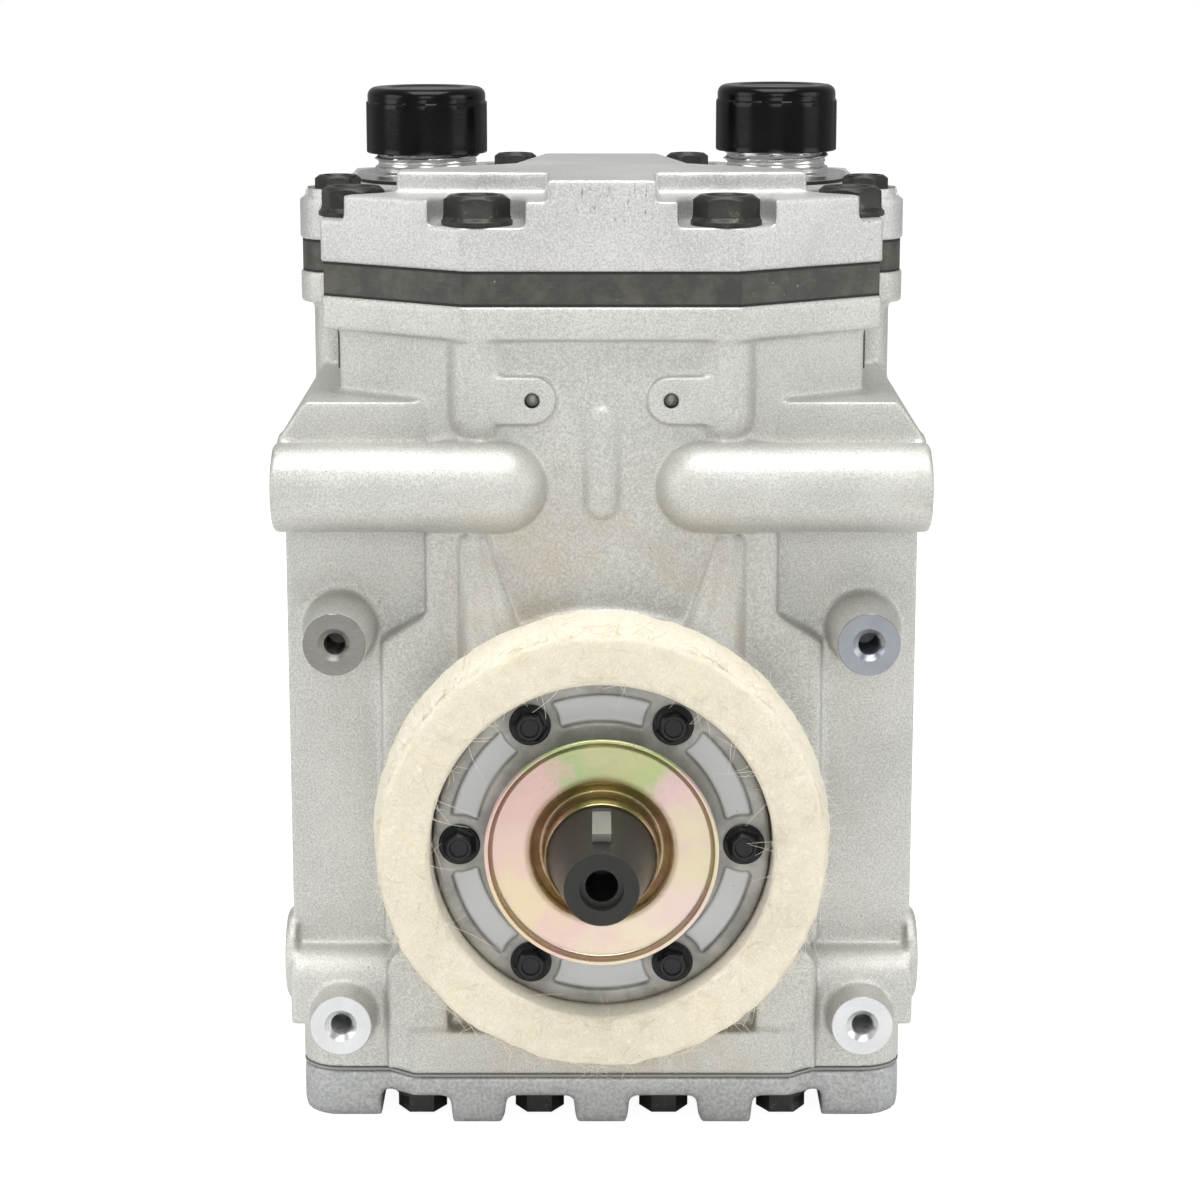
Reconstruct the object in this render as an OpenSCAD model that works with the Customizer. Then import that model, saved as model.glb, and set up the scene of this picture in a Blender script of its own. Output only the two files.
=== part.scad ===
// Belt driven two cylinder air conditioning compressor, standing on its base
// X runs across the body, Y from the shaft end to the back, Z upwards

/* [Body] */
// Height of the crank axis above the rest plane
crank_z = 67.5; // [66:0.5:72]
// Height of the cylinder deck above the crank axis
deck_rise = 115.5; // [113:0.5:122]
// Length of the crankcase from its front wall to its back wall
body_len = 144; // [142:0.5:150]
// Half of the width of the crankcase side walls
side_half = 69.6; // [67:0.2:74]
// Thickness of the crankcase side walls
side_wall = 11.6; // [9:0.2:12]
// Thickness of the front and back walls
end_wall = 12; // [10:0.5:14]
// Depth of the recessed side panels behind the front wall
panel_depth = 6; // [4:0.5:8]
// How far the felt seat stands in front of the front wall
nose_reach = 8.7; // [6:0.1:10]
// Radius of the felt seat
nose_r = 48; // [44:0.5:50]
// Height of the crankcase foot flange
foot_flange_h = 10; // [8:0.5:12]
// Thickness of the deck flange
deck_flange_h = 7.4; // [6:0.2:9]

/* [Deck outline] */
// Half of the width of the front facet of the deck
facet_half = 30; // [26:0.5:34]
// Half of the width of the deck
deck_half = 61.7; // [59:0.1:64]
// How far the deck overhangs the front wall
deck_overhang = 3.5; // [2:0.1:5]
// Length of the slanted front facets along the body
facet_run = 21; // [17:0.5:25]
// Distance of the side ear from the middle of the cylinders
ear_back = 2.5; // [0:0.5:6]
// Half spacing of the side ear bolts
ear_half = 62; // [60:0.2:63]
// Radius of the side ears
ear_r = 9; // [8.4:0.1:10]

/* [Barrels and bosses] */
// Radius of the transverse barrels
barrel_r = 9.75; // [8:0.25:11]
// Height of the barrels above the crank axis
barrel_rise = 76; // [72:0.5:78]
// Half spacing of the clutch mounting bosses across the body
boss_half = 57.8; // [56:0.1:59]
// Half spacing of the clutch mounting bosses up the body
boss_rise = 43.3; // [41:0.1:45]
// Radius of a clutch boss at its face
boss_face_r = 6.9; // [6.2:0.1:7.6]
// Radius of an upper clutch boss at its root
boss_root_r = 8.3; // [7.6:0.1:9]
// How far the clutch bosses reach in front of the front wall
boss_reach = 12; // [10:0.5:14]
// Minor radius of the clutch mounting threads
boss_hole_r = 2.6; // [2:0.1:3.2]
// Depth of the clutch mounting threads
boss_hole_depth = 16; // [12:1:17]

/* [Cylinders] */
// Bore of the cylinders
bore_d = 47.6; // [45:0.1:48.4]
// Piston stroke
stroke = 47.4; // [42:0.2:48]
// Distance between the cylinder axes
cyl_pitch = 58; // [57:0.5:60]
// Middle of the cylinders behind the middle of the body
cyl_mid_y = 1.5; // [0:0.5:2]
// Wall of the cylinder sleeves
sleeve_wall = 2.5; // [1.5:0.1:2.8]
// Length of the cylinder sleeves
sleeve_len = 76; // [70:0.5:76]
// Radial running clearance of the pistons
piston_gap = 0.05; // [0.03:0.01:0.1]
// Length of the pistons
piston_len = 40; // [34:0.5:40]
// Height of the piston crown above its pin
crown_h = 22; // [20:0.5:24]
// Radius of the piston pins
pin_r = 6.5; // [5:0.1:7]

/* [Crankshaft] */
// Radius of the crankpins
crankpin_r = 13; // [11:0.1:13.5]
// Length of the crankpins
crankpin_len = 22; // [18:0.5:23]
// Thickness of the crank webs
web_t = 6.5; // [5:0.1:7]
// Radius of the round crank webs
web_r = 25; // [23:0.5:26]
// Radius of the seal length of the shaft
seal_journal_r = 11.4; // [10.6:0.1:11.8]
// Radius of the shaft end face
nose_end_r = 7.9; // [7:0.1:9]
// Length of the tapered shaft end
taper_len = 21.6; // [19:0.2:24]
// Minor radius of the thread in the shaft end
shaft_hole_r = 3.45; // [2.8:0.05:3.6]
// Width of the shaft key
key_w = 4; // [3:0.1:4.6]

/* [Bearings] */
// Bore radius of the main bearings
bearing_bore_r = 12.5; // [12:0.1:13]
// Outer radius of the main bearings
bearing_outer_r = 26; // [25:0.1:27]
// Width of the main bearings
bearing_w = 15; // [13:0.5:16]
// Number of balls in a bearing
ball_count = 9; // [7:1:10]
// Radius of a bearing ball
ball_r = 3.9; // [3.4:0.1:4.1]

/* [Seal plate and felt] */
// Outer radius of the seal plate
seal_plate_r = 36.6; // [35.5:0.1:37]
// Thickness of the seal plate
seal_plate_t = 7.8; // [6:0.1:9]
// Bolt circle radius of the seal plate
seal_bolt_ring_r = 30.9; // [30:0.1:31.4]
// Number of seal plate bolts
seal_bolt_count = 6; // [4:1:8]
// Bore radius of the felt ring
felt_inner_r = 37.1; // [37:0.1:39]
// Outer radius of the felt ring at its seat
felt_outer_r = 50.1; // [48:0.1:52]
// Outer radius of the felt ring at its front
felt_front_r = 48.5; // [46:0.1:52]
// Thickness of the felt ring
felt_t = 15.3; // [12:0.1:18]
// Outer radius of the oil slinger
slinger_r = 25.3; // [22:0.1:25.6]
// Sheet thickness of the oil slinger
slinger_t = 0.9; // [0.6:0.1:1.2]

/* [Head] */
// Thickness of the valve plate
valve_plate_t = 6.4; // [5:0.1:8]
// Thickness of the flat gaskets
gasket_t = 0.5; // [0.4:0.05:1]
// Height of the bolt seats above the underside of the head
seat_h = 9.5; // [8:0.1:11]
// Height of the back part of the head
head_back_h = 12; // [11:0.1:13]
// Height of the front ledge of the head
head_ledge_h = 15; // [14:0.1:16]
// Height of the raised middle of the head
head_top_h = 19.6; // [18:0.1:22]
// Depth of the gas chambers in the head
chamber_h = 8; // [6:0.1:9]
// Half spacing of the ports
port_half = 41.9; // [40:0.1:43]
// Distance of the ports behind the middle of the body
port_y = 17; // [15:0.5:19]
// Radius of the port threads
port_thread_r = 12.7; // [11.5:0.1:13]
// Bore radius of the ports
port_bore_r = 8; // [6:0.1:9]
// Height of the port fittings above the head
port_h = 20; // [17:0.5:22]
// Outer radius of the port caps
cap_r = 14.45; // [14:0.05:15]
// Height of the port caps
cap_h = 17; // [14:0.5:18]

/* [Base] */
// Thickness of the base plate between its ribs
base_plate_t = 4.8; // [4:0.1:6]
// Height of the ribs and pads under the base plate
base_rib_h = 6.2; // [6:0.1:8]
// Half of the width of the base plate
base_half = 67.4; // [65:0.1:68]
// Corner radius of the base plate
base_corner_r = 9; // [7:0.1:11]
// Spacing of the ribs under the base plate
rib_pitch = 27.6; // [26:0.1:28.5]
// Width of a rib at the rest plane
rib_w = 11.6; // [10:0.1:12.2]

/* [Fasteners] */
// Width across flats of the large head bolts
large_af = 12.7; // [11:0.1:13]
// Flange radius of the large head bolts
large_flange_r = 7.7; // [7.4:0.1:8]
// Shank radius of the large head bolts
large_shank_r = 3.9; // [3.4:0.1:4]
// Width across flats of the small bolts
small_af = 9.5; // [8:0.1:10]
// Flange radius of the small bolts
small_flange_r = 6; // [5.8:0.1:6.4]
// Shank radius of the small bolts
small_shank_r = 3.1; // [2.6:0.1:3.2]
// Width across flats of the seal plate bolts
screw_af = 6.8; // [6:0.1:7.2]
// Flange radius of the seal plate bolts
screw_flange_r = 4.3; // [4.2:0.05:4.6]
// Shank radius of the seal plate bolts
screw_shank_r = 2.4; // [2:0.05:2.5]

/* [Hidden] */
$fn = 48;
// Overrun of every cut past the face that it opens
over = 1;
// Radial gap of parts that are pressed or seated in one another
seat_gap = 0.02;
// Face gap of parts that rub on one another
face_gap = 0.02;
// Radial clearance of shanks in their holes
hole_gap = 0.3;
// Radial running clearance of pins and crankpins
run_gap = 0.03;

// Heights
deck_z = crank_z + deck_rise;
plate_z = deck_z + gasket_t;
head_gasket_z = plate_z + valve_plate_t;
head_z = head_gasket_z + gasket_t;
seat_z = head_z + seat_h;
head_back_z = head_z + head_back_h;
base_top_z = base_rib_h + base_plate_t;
case_bottom_z = base_top_z + gasket_t;
barrel_z = crank_z + barrel_rise;

// Places along the body
front_y = -body_len / 2;
back_y = body_len / 2;
panel_y = front_y + panel_depth;
nose_y = front_y - nose_reach;
boss_face_y = front_y - boss_reach;
deck_front_y = front_y - deck_overhang;
deck_back_y = back_y + deck_overhang;
rear_pad_h = 3;
rear_pad_y = back_y + rear_pad_h;
cyl_y = [cyl_mid_y - cyl_pitch / 2, cyl_mid_y + cyl_pitch / 2];
pin_side = [1, -1];
crank_r = stroke / 2;

// Crankcase
ear_y = cyl_mid_y - ear_back;
wall_inset = 2;
deck_solid_h = 23;
barrel_wall = 4.7;
upper_wall = 8;
shoulder_out = 4;
shoulder_front_y = front_y - shoulder_out;
shoulder_r = 8;
shoulder_drop = 30;
shoulder_z = crank_z - shoulder_drop;
shelf_rise = 93.5;
shelf_half = 65;
shelf_flat_half = 60;
plateau_half = 48.6;
plateau_top_half = 38.6;
plateau_low = 28;
plateau_shoulder_low = 41;
plateau_shoulder_high = 47;
plateau_high = 65;
barrel_end = 1.6;
barrel_half = side_half + barrel_end;
barrel_inner = 12;
barrel_out = 1.5;
barrel_y = front_y - barrel_out;
lobe_r = 6.6;
lobe_rise = 91;
rib_cone_top_r = 2.8;
rib_cone_low_r = 8.4;
rib_cone_top = [28.4, 65];
rib_cone_low = [23.4, 36];
tab_r = 5.2;
tab_t = 2.4;
tab_half = 15;
tab_rise = 95;
tab_out = 24;
tab_hole_r = 1.4;
crest_r = 3.2;
crest_low = 69;
crest_high = 93;
crest_t = 1.3;
pillar_half = 41;
pillar_r = 6.8;
pillar_rise = 33;
pillar_t = 7.5;
housing_r = 34;
front_housing_y = cyl_y[0] - crankpin_len / 2 - web_t - over;
rear_housing_y = cyl_y[1] + crankpin_len / 2 + web_t + over;
lip_r = 22;
rear_pad_r = 43;
rear_bore_r = 33;
pad_r = 10;
pad_drop = 33.5;
pad_front_in = 4;
pad_back_in = 14;
pad_z = [crank_z - pad_drop, barrel_z];
pad_y = [panel_y + pad_front_in, back_y - pad_back_in];
pad_hole_r = 4;
pad_hole_depth = 10;
plug_boss_r = 13;
plug_thread_r = 6;
plug_rise = 5;
plug_in = 34;
plug_z = crank_z + plug_rise;
plug_y = back_y - plug_in;

// Bolt places: large head bolts, small head bolts
end_bolt_in = 7.5;
front_bolt_half = 26.8;
front_bolt_y = deck_front_y + end_bolt_in;
side_bolt_half = 55;
side_bolt_step = 22;
side_bolt_y = front_bolt_y + side_bolt_step;
corner_bolt_half = 44;
corner_bolt_in = 25;
corner_bolt_y = deck_back_y - corner_bolt_in;
back_bolt_half = 22;
back_bolt_y = deck_back_y - end_bolt_in;
large_places = [for (s = [-1, 1]) each [[s * front_bolt_half, front_bolt_y], [s * side_bolt_half, side_bolt_y]]];
small_places = [for (s = [-1, 1]) each [
    [s * ear_half, ear_y], [s * corner_bolt_half, corner_bolt_y], [s * back_bolt_half, back_bolt_y]]];
bolt_reach = 18;

// Base bolts: two rows across and one bolt on each side
base_bolt_half = [14, 40.5];
base_mid_half = 42;
base_step_half = 47.5;
base_corner_out = 4.3;
base_row_in = 0.5;
base_corner_y = front_y - base_corner_out;
base_back_corner_y = back_y + base_corner_out;
base_back_y = back_y + nose_reach;
base_row_y = front_y + base_row_in;
base_pad_half = 49.5;
base_pad_len = 19;
base_places = [
    for (x = base_bolt_half, s = [-1, 1], e = [-1, 1]) [s * x, e * base_row_y],
    for (s = [-1, 1]) [s * (base_half - small_flange_r), 0]];
base_bolt_len = 14;
base_mount_half = [58.5, 66];
base_mount_r = 3.3;
base_mount_depth = 8;

// Bearings and crankshaft places
front_collar_len = 5;
rear_collar_len = 3.5;
bearing_front_y = front_housing_y - front_collar_len;
bearing_rear_y = rear_housing_y + rear_collar_len;
collar_r = 15.4;
centre_journal_r = 16;
web_pin_r = 16.5;
race_t = 2.9;
ball_ring_r = (bearing_bore_r + bearing_outer_r) / 2;
ball_gap = 0.15;
cage_t = 1.6;
cage_w = 9.5;
plug_r = 4;
plug_gap = 0.03;
spin_step = 360 / ball_count;

// Shaft nose, seal and slinger places
journal_reach = 16.2;
taper_y = boss_face_y - journal_reach;
shaft_end_y = taper_y - taper_len;
counterbore_r = 4.65;
counterbore_depth = 2.6;
shaft_hole_depth = 22;
key_r = 9;
key_h = 6.1;
key_top = 10.7;
key_in = 8.6;
key_y = taper_y - key_in;
hub_in = 0.8;
lip_front_y = taper_y + hub_in;
slinger_face_in = 1.8;
slinger_rim_in = 0.2;
slinger_groove_t = 2.3;
slinger_face_y = nose_y - felt_t + slinger_face_in;
slinger_rim_y = nose_y - felt_t + slinger_rim_in;
slinger_groove_y = slinger_face_y + slinger_groove_t;
slinger_fold_r = 15;
slinger_hub_r = seal_journal_r + seat_gap + slinger_t;
plate_front_y = nose_y - seal_plate_t;
plate_bore_r = 13.2;
spigot_len = 6.7;
spigot_gap = 0.1;
seat_r = 17.2;
seat_t = 5.2;
seat_y = nose_y + spigot_len - seat_t;
nose_ring_r = 15.6;
nose_ring_t = 3.2;
nose_ring_y = seat_y + seat_t + face_gap;
shell_r = 19;
shell_t = 1.5;
shell_gap = 0.3;
shell_y = bearing_front_y - bearing_w - shell_t - shell_gap;
spring_r = 15;
oring_r = 1.2;
pocket_depth = 1.2;
pocket_inner_r = 27.4;
pocket_outer_r = 33.3;
pocket_ring_r = 6.4;

// Reeds, stops and rivets, on either side of each cylinder axis
reed_t = 0.3;
reed_w = 11;
reed_len = 36;
reed_x = 9;
reed_root = 4.5;
stop_t = 1.4;
stop_lift = 1.9;
rivet_r = 1.6;
rivet_head_r = 2.8;
rivet_head_h = 0.45;
reed_play = 0.34;
valve_hole_r = 2.6;
crown_gap = 0.5;
crown_relief = 1.5;
chamber_wall = 5;
chamber_half = 52;
chamber_in = 17;
chamber_front_y = deck_front_y + chamber_in;
chamber_back_y = deck_back_y - chamber_in;

// Pistons and rods
pin_boss_r = 9.5;
piston_wall = 3;
crown_t = 6;
ring_h = 2.4;
ring_t = 2.2;
ring_side_gap = 0.05;
ring_drop = 5;
ring_pitch = 5.4;
pin_half = 20.5;
rod_w = 17;
small_end_r = 9.6;
beam_w = 13;
beam_t = 9;
rod_len = deck_rise - crown_gap - crown_h - crank_r;
big_r = 18.4;
big_top = 21;
part_gap = 0.15;
ear_x = 19;
ear_w = 5.2;
ear_h = 8;
rod_bolt_r = 2.4;
rod_bolt_head_r = 4.2;
rod_bolt_head_h = 3.4;
rod_foot_h = 3;
rod_slot_gap = 2;
skirt_gap = 0.6;

// Cylinder along the Y axis from one place to the other
module y_rod(r, y0, y1) {
    translate([0, y0, 0]) rotate([-90, 0, 0]) cylinder(h = y1 - y0, r = r);
}

// Cone along the Y axis from one place to the other
module y_cone(r0, r1, y0, y1) {
    translate([0, y0, 0]) rotate([-90, 0, 0]) cylinder(h = y1 - y0, r1 = r0, r2 = r1);
}

// Tube along the Y axis
module y_tube(r_out, r_in, y0, y1) {
    difference() {
        y_rod(r_out, y0, y1);
        y_rod(r_in, y0 - over, y1 + over);
    }
}

// Tube along the Z axis
module z_tube(r_out, r_in, h) {
    difference() {
        cylinder(h = h, r = r_out);
        translate([0, 0, -over]) cylinder(h = h + 2 * over, r = r_in);
    }
}

// Round bar along X from one place to the other
module x_rod(r, x0, x1) {
    translate([x0, 0, 0]) rotate([0, 90, 0]) cylinder(h = x1 - x0, r = r);
}

// Box between two corners
module block(low, high) {
    translate(low) cube(high - low);
}

// Slab drawn in the X and Z axes between two places along Y
module slab(y0, y1) {
    translate([0, y1, 0]) rotate([90, 0, 0]) linear_extrude(y1 - y0) children();
}

// Child and its mirror image across the body
module both_sides() {
    children();
    mirror([1, 0, 0]) children();
}

// Child drawn for the shaft axis, lifted to it
module on_crank() {
    translate([0, 0, crank_z]) children();
}

// Plan of the deck, valve plate and head, drawn in by an inset
module deck_plan(inset = 0, ears = true) {
    front = deck_front_y + inset;
    back = deck_back_y - inset;
    half = deck_half - inset;
    polygon([
        [-facet_half, front], [facet_half, front], [half, front + facet_run],
        [half, back - facet_run], [facet_half, back], [-facet_half, back],
        [-half, back - facet_run], [-half, front + facet_run]]);
    if (ears) {
        for (s = [-1, 1]) {
            translate([s * ear_half, ear_y]) circle(r = ear_r - inset);
        }
    }
}

// Plan of the base plate, its gasket and the foot flange, drawn in by an inset
module base_plan(inset = 0) {
    half = base_half - inset;
    front = base_corner_y + inset;
    back = base_back_corner_y - inset;
    r = base_corner_r;
    polygon([
        [-base_step_half, front], [-base_mid_half, nose_y + inset], [base_mid_half, nose_y + inset],
        [base_step_half, front], [half - r, front], [half, front + r], [half, back - r],
        [half - r, back], [base_step_half, back], [base_mid_half, base_back_y - inset],
        [-base_mid_half, base_back_y - inset], [-base_step_half, back], [r - half, back],
        [-half, back - r], [-half, front + r], [r - half, front]]);
    for (s = [-1, 1], y = [front + r, back - r]) {
        translate([s * (half - r), y]) circle(r = r);
    }
}

// Hexagon flange bolt with its seat at the origin and its shank pointing down
module flange_bolt(af, flange_r, shank_r, head_h, len) {
    flange_h = head_h / 4;
    translate([0, 0, -len]) cylinder(h = len + flange_h, r = shank_r);
    cylinder(h = flange_h, r = flange_r);
    translate([0, 0, flange_h]) cylinder(h = head_h - flange_h, d = af / cos(30), $fn = 6);
}

module large_bolt(len) {
    flange_bolt(large_af, large_flange_r, large_shank_r, large_af / 2, len);
}

module small_bolt(len) {
    flange_bolt(small_af, small_flange_r, small_shank_r, small_af * 0.55, len);
}

// Outside of the crankcase casting, before its cavities and holes
module crankcase_body() {
    // deck flange with its ears
    translate([0, 0, deck_z - deck_flange_h]) linear_extrude(deck_flange_h) deck_plan();
    // upper block under the deck
    translate([0, 0, barrel_z]) linear_extrude(deck_z - deck_flange_h - barrel_z + over)
        deck_plan(deck_overhang, false);
    // ear columns
    both_sides() translate([ear_half, ear_y, barrel_z])
        cylinder(h = deck_z - barrel_z - over, r = ear_r - wall_inset - over);
    // side walls with their sloping shelf
    slab(panel_y, back_y) both_sides() polygon([
        [0, case_bottom_z + foot_flange_h], [side_half, case_bottom_z + foot_flange_h],
        [side_half, barrel_z - barrel_r], [barrel_half, barrel_z - barrel_r + over],
        [barrel_half, barrel_z + barrel_r - over], [shelf_half, crank_z + shelf_rise],
        [shelf_flat_half, crank_z + shelf_rise], [0, crank_z + shelf_rise]]);
    // front wall between the side panels
    slab(front_y, 0) both_sides() translate([0, crank_z]) polygon([
        [0, -plateau_low], [plateau_half, -plateau_low], [plateau_half, plateau_shoulder_low],
        [plateau_top_half, plateau_shoulder_high], [plateau_top_half, plateau_high],
        [facet_half + wall_inset, barrel_rise], [facet_half, shelf_rise], [0, shelf_rise]]);
    // lower shoulder and foot flange
    shoulder();
    translate([0, 0, case_bottom_z]) linear_extrude(foot_flange_h) base_plan();
    // felt seat and back pad
    on_crank() y_rod(nose_r, nose_y, panel_y);
    on_crank() y_rod(rear_pad_r, 0, rear_pad_y);
    both_sides() front_details();
    front_crest();
    both_sides() for (y = pad_y, z = pad_z) translate([0, y, z]) x_rod(pad_r, side_half - over, barrel_half);
    both_sides() translate([0, plug_y, plug_z]) x_rod(plug_boss_r, side_half - over, barrel_half);
}

// Barrel across one half of the body, with a round inner end
module barrel() {
    rotate([0, 90, 0]) rotate_extrude() intersection() {
        union() {
            translate([0, barrel_inner + barrel_r]) circle(r = barrel_r);
            translate([0, barrel_inner + barrel_r]) square([barrel_r, barrel_half - barrel_inner - barrel_r]);
        }
        square([2 * barrel_r, 2 * barrel_half]);
    }
}

// Lower shoulder seen from the side, with a quarter round on top
module shoulder() {
    low = case_bottom_z + foot_flange_h;
    mid = shoulder_z - shoulder_r;
    translate([-side_half, 0, 0]) rotate([90, 0, 90]) linear_extrude(2 * side_half) {
        translate([shoulder_front_y, low]) square([-shoulder_front_y, mid - low]);
        translate([shoulder_front_y + shoulder_r, mid]) circle(r = shoulder_r);
        translate([shoulder_front_y + shoulder_r, low]) square([-shoulder_front_y - shoulder_r, mid - low + shoulder_r]);
    }
}

// Barrel, lobe, rib, tab, bosses and pillar on one side of the front
module front_details() {
    for (y = [barrel_y, -barrel_y]) translate([0, y, barrel_z]) barrel();
    for (y = [front_bolt_y, back_bolt_y + over]) {
        translate([front_bolt_half, y, crank_z + lobe_rise]) {
            cylinder(h = deck_rise - lobe_rise - deck_flange_h + over, r = lobe_r);
            sphere(r = lobe_r);
        }
    }
    rib_drop = rib_cone_top[1] - rib_cone_low[1];
    rib_shift = rib_cone_top[0] - rib_cone_low[0];
    translate([rib_cone_low[0], front_y + over, crank_z + rib_cone_low[1]])
        rotate([0, atan(rib_shift / rib_drop), 0])
            cylinder(h = norm([rib_drop, rib_shift]), r1 = rib_cone_low_r, r2 = rib_cone_top_r);
    slab(front_y - tab_t, front_y + over) difference() {
        union() {
            translate([tab_half, crank_z + tab_rise]) circle(r = tab_r);
            translate([tab_half, crank_z + tab_rise - tab_r]) square([tab_out - tab_half, 2 * tab_r]);
        }
        translate([tab_half, crank_z + tab_rise]) circle(r = tab_hole_r);
    }
    translate([boss_half, 0, crank_z + boss_rise]) y_cone(boss_face_r, boss_root_r, boss_face_y, panel_y + over);
    translate([boss_half, 0, crank_z - boss_rise])
        y_cone(boss_face_r, (boss_face_r + boss_root_r) / 2, boss_face_y, front_y);
    translate([pillar_half, 0, crank_z - pillar_rise]) y_rod(pillar_r, front_y - pillar_t, 0);
    block([pillar_half - pillar_r, front_y - pillar_t, case_bottom_z + over],
        [pillar_half + pillar_r, 0, crank_z - pillar_rise]);
}

// Upright raised crest in the middle of the front
module front_crest() {
    slab(front_y - crest_t, front_y + over) translate([0, crank_z]) {
        translate([0, crest_low + crest_r]) circle(r = crest_r);
        translate([0, crest_high - crest_r]) circle(r = crest_r);
        translate([-crest_r, crest_low + crest_r]) square([2 * crest_r, crest_high - crest_low - 2 * crest_r]);
    }
}

// Crank chamber and the space round the cylinder barrels
module crankcase_cavity() {
    cavity_half = side_half - side_wall;
    cavity_top = deck_z - deck_solid_h;
    difference() {
        union() {
            block([-cavity_half, front_y + end_wall, case_bottom_z - over],
                [cavity_half, back_y - end_wall, crank_z + barrel_rise - barrel_r]);
            block([-deck_half + upper_wall + wall_inset, front_y + end_wall, crank_z],
                [deck_half - upper_wall - wall_inset, back_y - end_wall, cavity_top]);
        }
        for (y = cyl_y) translate([0, y, deck_z - sleeve_len])
            cylinder(h = sleeve_len, r = bore_d / 2 + sleeve_wall + barrel_wall);
        on_crank() y_rod(housing_r, front_y, front_housing_y);
        for (p = large_places) translate([p[0], p[1], deck_z - 2 * bolt_reach])
            cylinder(h = 2 * bolt_reach, r = 2 * large_shank_r);
        for (p = small_places) translate([p[0], p[1], deck_z - 2 * bolt_reach])
            cylinder(h = 2 * bolt_reach, r = 2 * large_shank_r);
    }
}

// Machined bores and tapped holes of the crankcase
module crankcase_holes() {
    for (y = cyl_y) translate([0, y, deck_z - sleeve_len - over])
        cylinder(h = sleeve_len + 2 * over, r = bore_d / 2 + sleeve_wall + seat_gap);
    on_crank() {
        y_rod(bearing_outer_r + seat_gap, nose_y - over, bearing_front_y);
        y_rod(lip_r, bearing_front_y - over, 0);
        y_rod(rear_bore_r + seat_gap, 0, rear_pad_y + over);
        for (p = seal_bolt_places()) translate(p)
            y_rod(screw_shank_r + seat_gap, nose_y - over, nose_y + bolt_reach / 2 + over);
        for (p = cover_bolt_places()) translate(p)
            y_rod(small_shank_r + seat_gap, rear_pad_y - bolt_reach / 2 - over, rear_pad_y + over);
        both_sides() for (s = [-1, 1]) translate([boss_half, 0, s * boss_rise]) {
            y_rod(boss_hole_r, boss_face_y - over, boss_face_y + boss_hole_depth);
            y_cone(boss_face_r * 0.62, boss_hole_r, boss_face_y - over / 2, boss_face_y + over);
        }
    }
    for (p = large_places) translate([p[0], p[1], deck_z - bolt_reach - over])
        cylinder(h = bolt_reach + 2 * over, r = large_shank_r + seat_gap);
    for (p = small_places) translate([p[0], p[1], deck_z - bolt_reach - over])
        cylinder(h = bolt_reach + 2 * over, r = small_shank_r + seat_gap);
    for (p = base_places) translate([p[0], p[1], case_bottom_z - over])
        cylinder(h = foot_flange_h + over, r = small_shank_r + seat_gap);
    both_sides() for (y = pad_y, z = pad_z) translate([0, y, z])
        x_rod(pad_hole_r, barrel_half - pad_hole_depth, barrel_half + over);
    translate([0, plug_y, plug_z]) x_rod(plug_thread_r + seat_gap, 0, barrel_half + over);
}

function seal_bolt_places() = [for (i = [0:seal_bolt_count - 1])
    let (a = 360 * i / seal_bolt_count) [seal_bolt_ring_r * cos(a), 0, seal_bolt_ring_r * sin(a)]];

cover_bolt_ring_r = 37.4;
cover_bolt_count = 6;
function cover_bolt_places() = [for (i = [0:cover_bolt_count - 1])
    let (a = 360 * (i + 0.5) / cover_bolt_count)
        [cover_bolt_ring_r * cos(a), 0, cover_bolt_ring_r * sin(a)]];

// Room for the piston skirts below their sleeves at the bottom of the stroke
module skirt_room() {
    skirt_z = crank_z - crank_r + rod_len + crown_h - piston_len - skirt_gap;
    for (y = cyl_y) translate([0, y, skirt_z])
        cylinder(h = deck_z - sleeve_len + over - skirt_z, r = bore_d / 2 + skirt_gap);
}

module crankcase() {
    color("gainsboro") difference() {
        crankcase_body();
        crankcase_cavity();
        crankcase_holes();
        skirt_room();
    }
}

module cylinder_sleeve(y) {
    color("dimgray") translate([0, y, deck_z - sleeve_len])
        z_tube(bore_d / 2 + sleeve_wall, bore_d / 2, sleeve_len);
}

// Base plate with corner pads and long ribs that it stands on
module base_plate() {
    rib_top = rib_w + base_rib_h / 5;
    color("lightgray") difference() {
        union() {
            translate([0, 0, base_rib_h]) linear_extrude(base_plate_t) base_plan();
            intersection() {
                linear_extrude(base_rib_h + over) base_plan();
                both_sides() for (e = [0, 1]) mirror([0, e, 0])
                    block([base_pad_half, base_corner_y, 0],
                        [base_half, base_corner_y + base_pad_len, base_rib_h + over]);
            }
            slab(nose_y, base_back_y) for (i = [-1, 0, 1]) translate([i * rib_pitch, 0]) polygon([
                [-rib_w / 2, 0], [rib_w / 2, 0], [rib_top / 2, base_rib_h + over],
                [-rib_top / 2, base_rib_h + over]]);
        }
        for (p = base_places) translate([p[0], p[1], -over])
            cylinder(h = base_top_z + 2 * over, r = small_shank_r + hole_gap);
        both_sides() for (s = [-1, 1]) translate([base_mount_half[0], s * base_mount_half[1], -over])
            cylinder(h = base_mount_depth + over, r = base_mount_r);
    }
}

module base_gasket() {
    color("black") translate([0, 0, base_top_z]) difference() {
        linear_extrude(gasket_t) base_plan(seat_gap);
        translate([0, 0, -over]) {
            block([-side_half + side_wall + over, front_y + end_wall, 0],
                [side_half - side_wall - over, back_y - end_wall, 3 * over]);
            for (p = base_places) translate([p[0], p[1], 0])
                cylinder(h = 3 * over, r = small_shank_r + hole_gap);
        }
    }
}

module base_bolts() {
    color("black") for (p = base_places) translate([p[0], p[1], base_rib_h])
        rotate([180, 0, 0]) small_bolt(base_bolt_len);
}

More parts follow.
